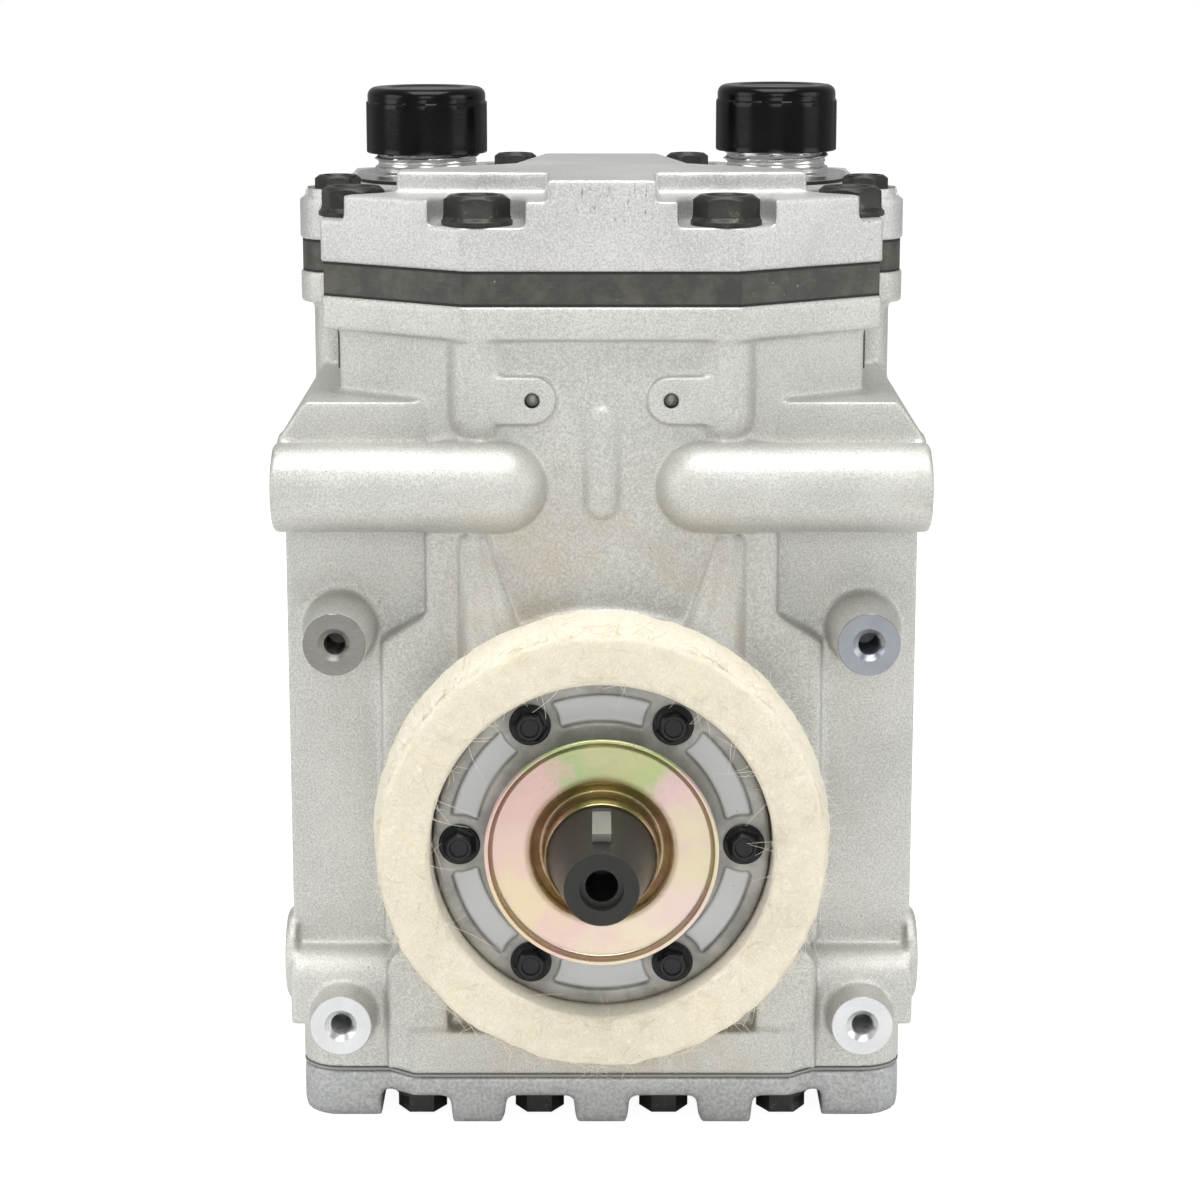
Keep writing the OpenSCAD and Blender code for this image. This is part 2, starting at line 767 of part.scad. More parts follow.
// Holes for the head bolts through a plate of the head stack
module stack_holes(z0, h) {
    for (p = large_places) translate([p[0], p[1], z0 - over])
        cylinder(h = h + 2 * over, r = large_shank_r + hole_gap);
    for (p = small_places) translate([p[0], p[1], z0 - over])
        cylinder(h = h + 2 * over, r = small_shank_r + hole_gap);
}

// Steel valve plate, with a row of ports on either side of each cylinder
module valve_plate() {
    color("dimgray") difference() {
        translate([0, 0, plate_z]) linear_extrude(valve_plate_t) deck_plan(gasket_t);
        stack_holes(plate_z, valve_plate_t);
        for (y = cyl_y, s = [-1, 1]) {
            for (i = [0, 1]) translate([s * reed_x, y + reed_len / 2 - reed_w / 2 - 1.3 * i * reed_w / 2, plate_z - over])
                cylinder(h = valve_plate_t + 2 * over, r = valve_hole_r);
            translate([s * reed_x, y - reed_len / 2 + reed_root, plate_z - over])
                cylinder(h = valve_plate_t + 2 * over, r = rivet_r + seat_gap);
        }
    }
}

module plate_gasket() {
    color("black") translate([0, 0, deck_z]) difference() {
        linear_extrude(gasket_t) deck_plan(gasket_t);
        translate([0, 0, -over]) for (y = cyl_y) translate([0, y, 0])
            cylinder(h = 3 * over, r = bore_d / 2);
        stack_holes(0, gasket_t);
    }
}

module head_gasket() {
    color("black") translate([0, 0, head_gasket_z]) difference() {
        linear_extrude(gasket_t) deck_plan(gasket_t);
        translate([0, 0, -over]) linear_extrude(3 * over) chambers_plan();
        stack_holes(0, gasket_t);
    }
}

// Plan of the suction and discharge chambers on either side of the dividing wall
module chambers_plan() {
    both_sides() difference() {
        polygon([
            [chamber_wall / 2, chamber_front_y], [facet_half - over, chamber_front_y],
            [chamber_half, chamber_front_y + facet_run], [chamber_half, chamber_back_y - facet_run],
            [facet_half - over, chamber_back_y], [chamber_wall / 2, chamber_back_y]]);
        for (p = large_places) translate(p) circle(r = large_flange_r + over);
        for (p = small_places) translate(p) circle(r = large_flange_r + over);
    }
}

// Ledges and bolt pockets of the head seen from above
module head_steps() {
    ledge_y = front_bolt_y + large_flange_r + ledge_room;
    top_back = cyl_mid_y - top_fore;
    translate([0, 0, head_z]) {
        linear_extrude(seat_h) deck_plan();
        linear_extrude(head_back_h) {
            deck_plan(0, false);
            for (s = [-1, 1]) translate([s * (ear_half - over), ear_y]) circle(r = ear_r - over / 4);
        }
        linear_extrude(head_ledge_h) intersection() {
            deck_plan(0, false);
            polygon([
                [-deck_half, deck_front_y], [deck_half, deck_front_y], [deck_half, side_bolt_y + step_w],
                [port_half, side_bolt_y + ledge_run], [facet_half, top_back + ledge_run],
                [-facet_half, top_back + ledge_run], [-port_half, side_bolt_y + ledge_run],
                [-deck_half, side_bolt_y + step_w]]);
        }
        linear_extrude(head_top_h) polygon([
            [-raised_half, deck_front_y], [raised_half, deck_front_y], [raised_half, ledge_y],
            [strip_half, ledge_y + step_w], [strip_half, ledge_y + strip_w], [top_waist, ledge_y + top_run],
            [raised_half + step_w, top_back + top_fore], [-raised_half - step_w, top_back + top_fore],
            [-top_waist, ledge_y + top_run], [-strip_half, ledge_y + strip_w], [-strip_half, ledge_y + step_w],
            [-raised_half, ledge_y]]);
    }
}
raised_half = 11.6;
strip_half = 45;
top_waist = 20;
top_run = 26;
strip_w = 9;
step_w = 2;
top_fore = 10;
ledge_room = 5.5;
ledge_run = 12;
pocket_room = 2.8;
small_pocket_room = 1.4;
side_pocket_less = 1.6;
side_pocket_turn = 35;
port_pad_wall = 4.6;
spigot_wall = 2;

// Seat cut for a bolt, open towards the nearest edge
module bolt_pocket(p, r, out) {
    translate([p[0], p[1], seat_z]) {
        cylinder(h = head_top_h, r = r);
        rotate([0, 0, out]) translate([0, -r, 0]) cube([4 * r, 2 * r, head_top_h]);
    }
}

module cylinder_head() {
    pocket_r = large_flange_r + pocket_room;
    small_pocket_r = small_flange_r + small_pocket_room;
    color("gainsboro") difference() {
        union() {
            head_steps();
            for (s = [-1, 1]) translate([s * port_half, port_y, head_z])
                cylinder(h = head_back_h, r = port_thread_r + port_pad_wall);
        }
        for (s = [-1, 1]) {
            bolt_pocket([s * front_bolt_half, front_bolt_y], pocket_r, -90);
            bolt_pocket([s * side_bolt_half, side_bolt_y], pocket_r - side_pocket_less,
                s > 0 ? -side_pocket_turn : 180 + side_pocket_turn);
        }
        for (p = small_places) translate([p[0], p[1], seat_z]) cylinder(h = head_top_h, r = small_pocket_r);
        stack_holes(head_z, head_top_h);
        translate([0, 0, head_z - over]) linear_extrude(chamber_h + over) chambers_plan();
        for (s = [-1, 1]) translate([s * port_half, port_y, head_z])
            cylinder(h = head_top_h, r = port_bore_r + spigot_wall + seat_gap);
    }
}

module head_bolts_large() {
    len = seat_z - deck_z + bolt_reach;
    color("#26282a") for (p = large_places) translate([p[0], p[1], seat_z]) large_bolt(len);
}

module head_bolts_small() {
    len = seat_z - deck_z + bolt_reach;
    color("#26282a") for (p = small_places) translate([p[0], p[1], seat_z]) small_bolt(len);
}

// Flat reed lying from its riveted root towards its tip along Y
module reed(x, y, z) {
    color("silver") translate([x, y - reed_len / 2, z]) difference() {
        union() {
            translate([0, reed_w / 2, 0]) cylinder(h = reed_t, r = reed_w / 2);
            translate([-reed_w / 2, reed_w / 2, 0]) cube([reed_w, reed_len - reed_w, reed_t]);
            translate([0, reed_len - reed_w / 2, 0]) cylinder(h = reed_t, r = reed_w / 2);
        }
        translate([0, reed_root, -over]) cylinder(h = 2 * over + reed_t, r = rivet_r + 5 * seat_gap);
    }
}

reed_under_z = plate_z - reed_t;
reed_over_z = head_gasket_z;
stop_z = reed_over_z + reed_t + seat_gap;
stop_slope = atan(stop_lift / reed_len);
stop_rise = (reed_root + rivet_head_r) * tan(stop_slope) + stop_t / cos(stop_slope) + seat_gap;

// Stops over the discharge reeds, rising from the root towards the tip
module reed_stops() {
    color("slategray") for (y = cyl_y) translate([reed_x, y - reed_len / 2, stop_z]) difference() {
        translate([-reed_w / 2, 0, 0]) rotate([stop_slope, 0, 0]) cube([reed_w, reed_len, stop_t]);
        translate([0, reed_root, -over]) cylinder(h = 3 * over + stop_t, r = rivet_r + 5 * seat_gap);
    }
}

module reed_rivets() {
    color("darkgray") for (y = cyl_y, s = [-1, 1]) {
        low = s < 0 ? reed_under_z - reed_play : plate_z;
        high = s < 0 ? head_gasket_z : stop_z + stop_rise;
        translate([s * reed_x, y - reed_len / 2 + reed_root, low - rivet_head_h]) {
            cylinder(h = high - low + 2 * rivet_head_h, r = rivet_r);
            cylinder(h = rivet_head_h, r = rivet_head_r);
        }
        translate([s * reed_x, y - reed_len / 2 + reed_root, high]) cylinder(h = rivet_head_h, r = rivet_head_r);
    }
}

washer_t = 0.8;
fitting_flange_h = 1.3;
fitting_flange_r = 16.8;
collar_h = 4.6;
fitting_z = head_back_z + washer_t;

// Threaded port fitting with a flange, a spigot in the head and a relief under the thread
module port_fitting(x) {
    color("silver") translate([x, port_y, 0]) difference() {
        union() {
            translate([0, 0, head_z + chamber_h - over]) cylinder(h = head_back_h, r = port_bore_r + spigot_wall);
            translate([0, 0, fitting_z]) cylinder(h = fitting_flange_h, r = fitting_flange_r);
            translate([0, 0, fitting_z]) cylinder(h = collar_h, r = port_thread_r - over / 4);
            translate([0, 0, fitting_z]) cylinder(h = collar_h + over, r = port_thread_r - over);
            translate([0, 0, fitting_z + collar_h + over])
                cylinder(h = port_h - collar_h - over, r = port_thread_r);
        }
        translate([0, 0, head_z]) cylinder(h = port_h + head_top_h, r = port_bore_r);
    }
}

module sealing_washers() {
    color("black") {
        for (s = [-1, 1]) translate([s * port_half, port_y, head_back_z])
            z_tube(fitting_flange_r - over / 2, port_bore_r + spigot_wall + hole_gap, washer_t);
        translate([barrel_half, plug_y, plug_z]) rotate([0, 90, 0])
            z_tube(plug_flange_r, plug_thread_r + hole_gap, washer_t);
    }
}

cap_wall = 1.45;
cap_top_t = 2;
cap_lip_h = 3;
cap_z = fitting_z + port_h + cap_top_t + face_gap - cap_h;

// Screwed port cap with a smaller shoulder at its top
module port_cap(x) {
    color("#1b1b1c") translate([x, port_y, cap_z]) difference() {
        union() {
            cylinder(h = cap_h - cap_lip_h, r = cap_r);
            translate([0, 0, cap_h - cap_lip_h]) cylinder(h = cap_lip_h, r1 = cap_r, r2 = cap_r - over);
        }
        translate([0, 0, -over]) cylinder(h = cap_h - cap_top_t + over, r = cap_r - cap_wall);
    }
}

// Seal plate with shallow pockets between its bolts and a spigot behind
module seal_plate() {
    color("gray") on_crank() difference() {
        union() {
            y_rod(seal_plate_r, plate_front_y, nose_y);
            y_rod(bearing_outer_r - spigot_gap, nose_y - over, nose_y + spigot_len);
        }
        y_rod(plate_bore_r, plate_front_y - over, nose_y + spigot_len + over);
        y_rod(seat_r + seat_gap, seat_y, nose_y + spigot_len + over);
        difference() {
            y_tube(pocket_outer_r, pocket_inner_r, plate_front_y - over, plate_front_y + pocket_depth);
            for (p = seal_bolt_places()) translate(p)
                y_rod(pocket_ring_r, plate_front_y - 2 * over, plate_front_y + 2 * over);
        }
        for (p = seal_bolt_places()) translate(p)
            y_rod(screw_shank_r + hole_gap, plate_front_y - over, nose_y + over);
        oring_groove();
    }
}

oring_in = 3;
oring_y = nose_y + oring_in;
module oring_groove() {
    y_tube(bearing_outer_r + over, bearing_outer_r - spigot_gap - 2 * oring_r, oring_y - oring_r, oring_y + oring_r);
}

// Ring of round section about the crank axis
module o_ring(r, cord_r, y) {
    on_crank() translate([0, y, 0]) rotate([-90, 0, 0]) rotate_extrude() translate([r, 0]) circle(r = cord_r);
}

module seal_plate_o_ring() {
    color("black") o_ring(bearing_outer_r - oring_r - spigot_gap / 2, oring_r - spigot_gap, oring_y);
}

module seal_plate_bolts() {
    head_h = screw_af * 0.84;
    color("#1d1e1f") on_crank() for (p = seal_bolt_places()) translate(p + [0, plate_front_y, 0])
        rotate([90, 0, 0]) flange_bolt(screw_af, screw_flange_r, screw_shank_r, head_h, seal_plate_t + bolt_reach / 2);
}

// Felt ring that seals the clutch to the body
module felt_ring() {
    color("#ece0c2") on_crank() difference() {
        y_cone(felt_front_r, felt_outer_r, nose_y - felt_t, nose_y);
        y_rod(felt_inner_r, nose_y - felt_t - over, nose_y + over);
    }
}

module seal_seat() {
    color("ivory") on_crank() y_tube(seat_r, plate_bore_r - over / 2, seat_y, seat_y + seat_t);
}

module seal_nose() {
    color("#2c2c30") on_crank()
        y_tube(nose_ring_r, seal_journal_r + seat_gap, nose_ring_y, nose_ring_y + nose_ring_t);
}

module seal_shell() {
    color("silver") on_crank() {
        y_tube(shell_r, seal_journal_r + seat_gap, shell_y, shell_y + shell_t);
        y_tube(shell_r, shell_r - shell_t, nose_ring_y + nose_ring_t, shell_y + shell_t / 2);
    }
}

module seal_spring() {
    color("darkgray") on_crank()
        y_tube(spring_r, spring_r - shell_t, nose_ring_y + nose_ring_t + seat_gap, shell_y - seat_gap);
}

// Pressed sheet dish that throws oil off the shaft, turned from one section
module slinger() {
    rim_r = slinger_r;
    t = slinger_t;
    hub = slinger_hub_r;
    color("#d8cf8e") on_crank() rotate([-90, 0, 0]) rotate_extrude() polygon([
        [hub - t, lip_front_y], [hub, lip_front_y], [hub, slinger_groove_y - t],
        [slinger_fold_r - t, slinger_groove_y - t], [slinger_fold_r, slinger_face_y],
        [rim_r - 3 * t, slinger_face_y + t / 2], [rim_r - t, slinger_rim_y], [rim_r, slinger_rim_y],
        [rim_r, slinger_rim_y + t], [rim_r - 2 * t, slinger_face_y + 1.7 * t],
        [slinger_fold_r + t / 2, slinger_face_y + t], [slinger_fold_r, slinger_groove_y],
        [hub - t, slinger_groove_y]]);
}

// Crank cheek: a round web about the main axis and a round end about the crankpin
module cheek(y, side) {
    slab(y, y + web_t) difference() {
        union() {
            circle(r = web_r);
            translate([0, side * crank_r]) circle(r = web_pin_r);
            translate([-web_pin_r, side > 0 ? 0 : -crank_r]) square([2 * web_pin_r, crank_r]);
        }
    }
}

module crankshaft() {
    front_cheek = cyl_y[0] - crankpin_len / 2 - web_t;
    back_cheek = cyl_y[1] + crankpin_len / 2;
    color("#55585a") on_crank() difference() {
        union() {
            y_cone(nose_end_r, seal_journal_r, shaft_end_y, taper_y);
            y_rod(seal_journal_r, taper_y, bearing_front_y - bearing_w);
            y_rod(bearing_bore_r, bearing_front_y - bearing_w - shell_gap, bearing_front_y + over / 2);
            y_rod(collar_r, bearing_front_y + seat_gap, front_cheek + over);
            for (i = [0, 1]) translate([0, 0, pin_side[i] * crank_r])
                y_rod(crankpin_r, cyl_y[i] - crankpin_len / 2 - over, cyl_y[i] + crankpin_len / 2 + over);
            cheek(front_cheek, pin_side[0]);
            cheek(cyl_y[0] + crankpin_len / 2, pin_side[0]);
            cheek(cyl_y[1] - crankpin_len / 2 - web_t, pin_side[1]);
            cheek(back_cheek, pin_side[1]);
            y_rod(centre_journal_r, cyl_y[0] + crankpin_len / 2 + over, cyl_y[1] - crankpin_len / 2 - over);
            y_rod(collar_r, back_cheek + web_t - over, bearing_rear_y - seat_gap);
            y_rod(bearing_bore_r, bearing_rear_y - over, bearing_rear_y + bearing_w + over);
        }
        y_rod(shaft_hole_r, shaft_end_y - over, shaft_end_y + shaft_hole_depth);
        y_rod(counterbore_r, shaft_end_y - over, shaft_end_y + counterbore_depth);
        for (i = [0, 1]) translate([0, 0, pin_side[i] * crank_r / 2])
            y_rod(plug_r + plug_gap, plug_y0(i) - over, plug_y0(i) + web_t + over);
        key_shape(seat_gap);
    }
}

// Place of the plug that rides in a cheek beside each crankpin
function plug_y0(i) = i == 0 ? cyl_y[0] - crankpin_len / 2 - web_t : cyl_y[1] + crankpin_len / 2;

// Half moon key lying in the taper, grown by a gap for its slot
module key_shape(gap) {
    intersection() {
        translate([-key_w / 2 - gap, key_y, key_top - key_h + key_r]) rotate([0, 90, 0])
            cylinder(h = key_w + 2 * gap, r = key_r + gap);
        block([-key_w, key_y - 2 * key_r, 0], [key_w, key_y + 2 * key_r, gap > 0 ? 2 * key_r : key_top]);
    }
}

module shaft_key() {
    color("silver") on_crank() key_shape(0);
}

// Outer race of a main bearing, from its front face
module bearing_outer(y) {
    color("lightsteelblue") on_crank() difference() {
        y_tube(bearing_outer_r, bearing_outer_r - race_t, y, y + bearing_w);
        race_groove(y);
    }
}

module bearing_inner(y) {
    color("lightsteelblue") on_crank() difference() {
        y_tube(bearing_bore_r + race_t, bearing_bore_r + seat_gap, y, y + bearing_w);
        race_groove(y);
    }
}

module race_groove(y) {
    translate([0, y + bearing_w / 2, 0]) rotate([-90, 0, 0]) rotate_extrude()
        translate([ball_ring_r, 0]) circle(r = ball_r + ball_gap);
}

// Balls and the cage that spaces them
module bearing_balls(y) {
    color("silver") on_crank() translate([0, y + bearing_w / 2, 0]) {
        for (i = [0:ball_count - 1]) rotate([0, i * spin_step, 0]) translate([ball_ring_r, 0, 0])
            sphere(r = ball_r);
        difference() {
            y_tube(ball_ring_r + cage_t / 2, ball_ring_r - cage_t / 2, -cage_w / 2, cage_w / 2);
            for (i = [0:ball_count - 1]) rotate([0, i * spin_step, 0])
                x_rod(ball_r + ball_gap, ball_ring_r - ball_r, ball_ring_r + ball_r);
        }
    }
}

cover_flange_h = 6;
cover_hub_h = 10;
cover_hub_r = 30;
cover_wall_y = bearing_rear_y + bearing_w;
cover_oring_in = 6;
cover_oring_y = rear_pad_y - cover_oring_in;
cover_pocket_t = 3;

// Rear cover that carries the rear bearing in its spigot
module rear_cover() {
    color("lightgray") on_crank() difference() {
        union() {
            y_rod(rear_bore_r - spigot_gap, bearing_rear_y, rear_pad_y + over);
            y_rod(rear_pad_r - over / 2, rear_pad_y, rear_pad_y + cover_flange_h);
            y_rod(cover_hub_r, rear_pad_y, rear_pad_y + cover_hub_h);
        }
        y_rod(bearing_outer_r + seat_gap, bearing_rear_y - over, cover_wall_y);
        y_rod(lip_r, cover_wall_y - over, cover_wall_y + cover_pocket_t);
        y_rod(cover_hub_r * 0.7, rear_pad_y + cover_flange_h, rear_pad_y + cover_hub_h + over);
        for (p = cover_bolt_places()) translate(p)
            y_rod(small_shank_r + hole_gap, rear_pad_y - over, rear_pad_y + cover_flange_h + over);
        y_tube(rear_bore_r + over, rear_bore_r - spigot_gap - 2 * oring_r, cover_oring_y - oring_r,
            cover_oring_y + oring_r);
        translate([0, 0, -crank_z]) skirt_room();
    }
}

module rear_cover_o_ring() {
    color("black") o_ring(rear_bore_r - oring_r - spigot_gap / 2, oring_r - spigot_gap, cover_oring_y);
}

module rear_cover_bolts() {
    color("#26282a") on_crank() for (p = cover_bolt_places())
        translate(p + [0, rear_pad_y + cover_flange_h, 0]) rotate([-90, 0, 0])
            small_bolt(cover_flange_h + bolt_reach / 2);
}

plug_flange_r = 10;
plug_head_h = 5;
plug_af = 12.7;
plug_len = 9;

// Oil level plug in the side wall, with a hexagon head on a round flange
module oil_plug() {
    color("silver") translate([barrel_half + washer_t, plug_y, plug_z]) rotate([0, 90, 0]) {
        translate([0, 0, -plug_len]) cylinder(h = plug_len + over, r = plug_thread_r);
        cylinder(h = plug_head_h / 3, r = plug_flange_r);
        translate([0, 0, plug_head_h / 3]) cylinder(h = plug_head_h * 2 / 3, d = plug_af / cos(30), $fn = 6);
    }
}

module web_plug(i) {
    color("goldenrod") on_crank() translate([0, 0, pin_side[i] * crank_r / 2])
        y_rod(plug_r, plug_y0(i), plug_y0(i) + web_t);
}

// Moves a child drawn about a piston pin to its place at rest
module at_wrist(i) {
    translate([0, cyl_y[i], crank_z + pin_side[i] * crank_r + rod_len]) children();
}

// Moves a child drawn about a crankpin to its place at rest
module at_crankpin(i) {
    translate([0, cyl_y[i], crank_z + pin_side[i] * crank_r]) children();
}

module piston(i) {
    r = bore_d / 2 - piston_gap;
    skirt_low = crown_h - piston_len;
    color("lightgray") at_wrist(i) difference() {
        translate([0, 0, skirt_low]) cylinder(h = piston_len, r = r);
        difference() {
            translate([0, 0, skirt_low - over]) cylinder(h = piston_len - crown_t + over, r = r - piston_wall - ring_t);
            y_rod(pin_boss_r, rod_w / 2 + over, r);
            y_rod(pin_boss_r, -r, -rod_w / 2 - over);
        }
        y_rod(pin_r + seat_gap, -r - over, r + over);
        for (k = [0, 1]) translate([0, 0, crown_h - ring_drop - k * ring_pitch - ring_h])
            z_tube(r + over, r - ring_t, ring_h);
        translate([-reed_x - reed_w / 2 - over, -reed_len / 2 - over, crown_h - crown_relief])
            cube([reed_w + 2 * over, reed_len + 2 * over, crown_relief + over]);
    }
}

module piston_rings(i) {
    r = bore_d / 2 - piston_gap;
    color("dimgray") at_wrist(i) for (k = [0, 1])
        translate([0, 0, crown_h - ring_drop - k * ring_pitch - ring_h + ring_side_gap])
            z_tube(r, r - ring_t + 4 * ring_side_gap, ring_h - 2 * ring_side_gap);
}

module wrist_pin(i) {
    color("silver") at_wrist(i) y_tube(pin_r, pin_r / 2, -pin_half, pin_half);
}

// Rod small end and beam, down to the flat where the big end slides under it
module con_rod(i) {
    foot = big_top - rod_len;
    color("darkgray") at_wrist(i) difference() {
        union() {
            y_rod(small_end_r, -rod_w / 2, rod_w / 2);
            block([-beam_w / 2, -beam_t / 2, foot], [beam_w / 2, beam_t / 2, 0]);
            block([-beam_w * 0.7, -rod_w / 2, foot], [beam_w * 0.7, rod_w / 2, foot + rod_foot_h]);
        }
        y_rod(pin_r + run_gap, -rod_w, rod_w);
        for (s = [-1, 1]) block([-beam_w / 4, s > 0 ? beam_t / 4 : -beam_t, foot + 2 * rod_foot_h],
            [beam_w / 4, s > 0 ? beam_t : -beam_t / 4, -small_end_r - rod_slot_gap]);
    }
}

// Upper half of the big end, flat on top, with an ear for each bolt
module big_end(i) {
    color("darkgray") at_crankpin(i) difference() {
        union() {
            y_rod(big_r, -rod_w / 2, rod_w / 2);
            block([-beam_w * 0.7, -rod_w / 2, 0], [beam_w * 0.7, rod_w / 2, big_top - part_gap]);
            block([-ear_x - ear_w, -ear_w, -over], [ear_x + ear_w, ear_w, ear_h]);
        }
        y_rod(crankpin_r + run_gap, -rod_w, rod_w);
        block([-2 * ear_x, -rod_w, -2 * big_r], [2 * ear_x, rod_w, 0]);
        for (s = [-1, 1]) translate([s * ear_x, 0, -over]) cylinder(h = ear_h - over, r = rod_bolt_r + seat_gap);
    }
}

module rod_cap(i) {
    color("darkgray") at_crankpin(i) difference() {
        union() {
            y_rod(big_r, -rod_w / 2, rod_w / 2);
            block([-ear_x - ear_w, -ear_w, -ear_h], [ear_x + ear_w, ear_w, over]);
        }
        y_rod(crankpin_r + run_gap, -rod_w, rod_w);
        block([-2 * ear_x, -rod_w, 0], [2 * ear_x, rod_w, 2 * big_r]);
        for (s = [-1, 1]) translate([s * ear_x, 0, -ear_h]) {
            translate([0, 0, -over]) cylinder(h = ear_h + 2 * over, r = rod_bolt_r + hole_gap / 2);
            translate([0, 0, -2 * rod_bolt_head_h])
                cylinder(h = 2 * rod_bolt_head_h, r = rod_bolt_head_r + hole_gap);
        }
    }
}

module rod_bolts(i) {
    color("#333333") at_crankpin(i) for (s = [-1, 1]) translate([s * ear_x, 0, -ear_h]) {
        cylinder(h = 2 * ear_h - 3 * over, r = rod_bolt_r);
        translate([0, 0, -rod_bolt_head_h]) cylinder(h = rod_bolt_head_h, r = rod_bolt_head_r, $fn = 6);
    }
}

crankcase();
cylinder_sleeve(cyl_y[0]);  // cylinder_sleeve_front
cylinder_sleeve(cyl_y[1]);  // cylinder_sleeve_rear
base_plate();
base_gasket();
base_bolts();
valve_plate();
plate_gasket();
head_gasket();
cylinder_head();
head_bolts_large();
head_bolts_small();
reed(-reed_x, cyl_y[0], reed_under_z);  // suction_reed_front
reed(-reed_x, cyl_y[1], reed_under_z);  // suction_reed_rear
reed(reed_x, cyl_y[0], reed_over_z);  // discharge_reed_front
reed(reed_x, cyl_y[1], reed_over_z);  // discharge_reed_rear
reed_stops();
reed_rivets();
port_fitting(-port_half);  // suction_fitting
port_fitting(port_half);  // discharge_fitting
sealing_washers();
port_cap(-port_half);  // suction_cap
port_cap(port_half);  // discharge_cap
seal_plate();
seal_plate_bolts();
seal_plate_o_ring();
felt_ring();
seal_seat();
seal_nose();
seal_shell();
seal_spring();
slinger();
crankshaft();
shaft_key();
bearing_outer(bearing_front_y - bearing_w);  // front_bearing_outer
bearing_inner(bearing_front_y - bearing_w);  // front_bearing_inner
bearing_balls(bearing_front_y - bearing_w);  // front_bearing_balls
bearing_outer(bearing_rear_y);  // rear_bearing_outer
bearing_inner(bearing_rear_y);  // rear_bearing_inner
bearing_balls(bearing_rear_y);  // rear_bearing_balls
rear_cover();
rear_cover_o_ring();
rear_cover_bolts();
oil_plug();
web_plug(0);  // web_plug_front
web_plug(1);  // web_plug_rear
piston(0);  // piston_front
piston(1);  // piston_rear
piston_rings(0);  // piston_rings_front
piston_rings(1);  // piston_rings_rear
wrist_pin(0);  // wrist_pin_front
wrist_pin(1);  // wrist_pin_rear
con_rod(0);  // con_rod_front
con_rod(1);  // con_rod_rear
big_end(0);  // big_end_front
big_end(1);  // big_end_rear
rod_cap(0);  // rod_cap_front
rod_cap(1);  // rod_cap_rear
rod_bolts(0);  // rod_bolts_front
rod_bolts(1);  // rod_bolts_rear
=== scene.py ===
"""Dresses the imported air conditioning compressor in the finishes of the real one."""

import logging
import math
from dataclasses import dataclass
from enum import Enum
from typing import Any, Callable, Iterable

import bmesh
import bpy
import numpy as np
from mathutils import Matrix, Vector


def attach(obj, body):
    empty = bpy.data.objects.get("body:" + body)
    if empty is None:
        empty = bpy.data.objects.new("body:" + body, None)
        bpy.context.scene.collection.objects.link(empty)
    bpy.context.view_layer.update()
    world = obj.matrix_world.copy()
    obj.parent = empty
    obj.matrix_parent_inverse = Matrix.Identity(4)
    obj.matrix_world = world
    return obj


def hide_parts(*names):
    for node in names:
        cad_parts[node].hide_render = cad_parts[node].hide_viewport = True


LOG = logging.getLogger("compressor")
MM = 0.001
SEED = 11
Colour = tuple[float, float, float]


# Shader arithmetic


class Wire:
    """A shader socket that takes part in Python arithmetic."""

    def __init__(self, shader: "Shader", socket: Any) -> None:
        """Keeps the shader and the output socket."""
        self.shader = shader
        self.socket = socket

    def _math(self, operation: str, first: Any, second: Any) -> "Wire":
        """Adds one Math node.

        Args:
            operation: Name of the Math node's operation.
            first: First number or wire.
            second: Second number or wire.

        Returns:
            The node's result.
        """
        return self.shader.add("ShaderNodeMath", {"operation": operation}, {0: first, 1: second})

    def __add__(self, other: Any) -> "Wire":
        """Sum with a number or wire."""
        return self._math("ADD", self, other)

    __radd__ = __add__

    def __sub__(self, other: Any) -> "Wire":
        """Difference from a number or wire."""
        return self._math("SUBTRACT", self, other)

    def __rsub__(self, other: Any) -> "Wire":
        """Difference of a number and this wire."""
        return self._math("SUBTRACT", other, self)

    def __mul__(self, other: Any) -> "Wire":
        """Product with a number or wire."""
        return self._math("MULTIPLY", self, other)

    __rmul__ = __mul__

    def __truediv__(self, other: Any) -> "Wire":
        """Quotient by a number or wire."""
        return self._math("DIVIDE", self, other)

    def __pow__(self, other: Any) -> "Wire":
        """Power of this wire."""
        return self._math("POWER", self, other)

    def clamp(self) -> "Wire":
        """Value held between nought and one."""
        return self.shader.add("ShaderNodeClamp", {}, {0: self, 1: 0.0, 2: 1.0})

    def step(self, low: float, high: float) -> "Wire":
        """Smooth rise from nought at low to one at high."""
        settings = {"interpolation_type": "SMOOTHSTEP"}
        return self.shader.add("ShaderNodeMapRange", settings, {0: self, 1: low, 2: high, 3: 0.0, 4: 1.0})


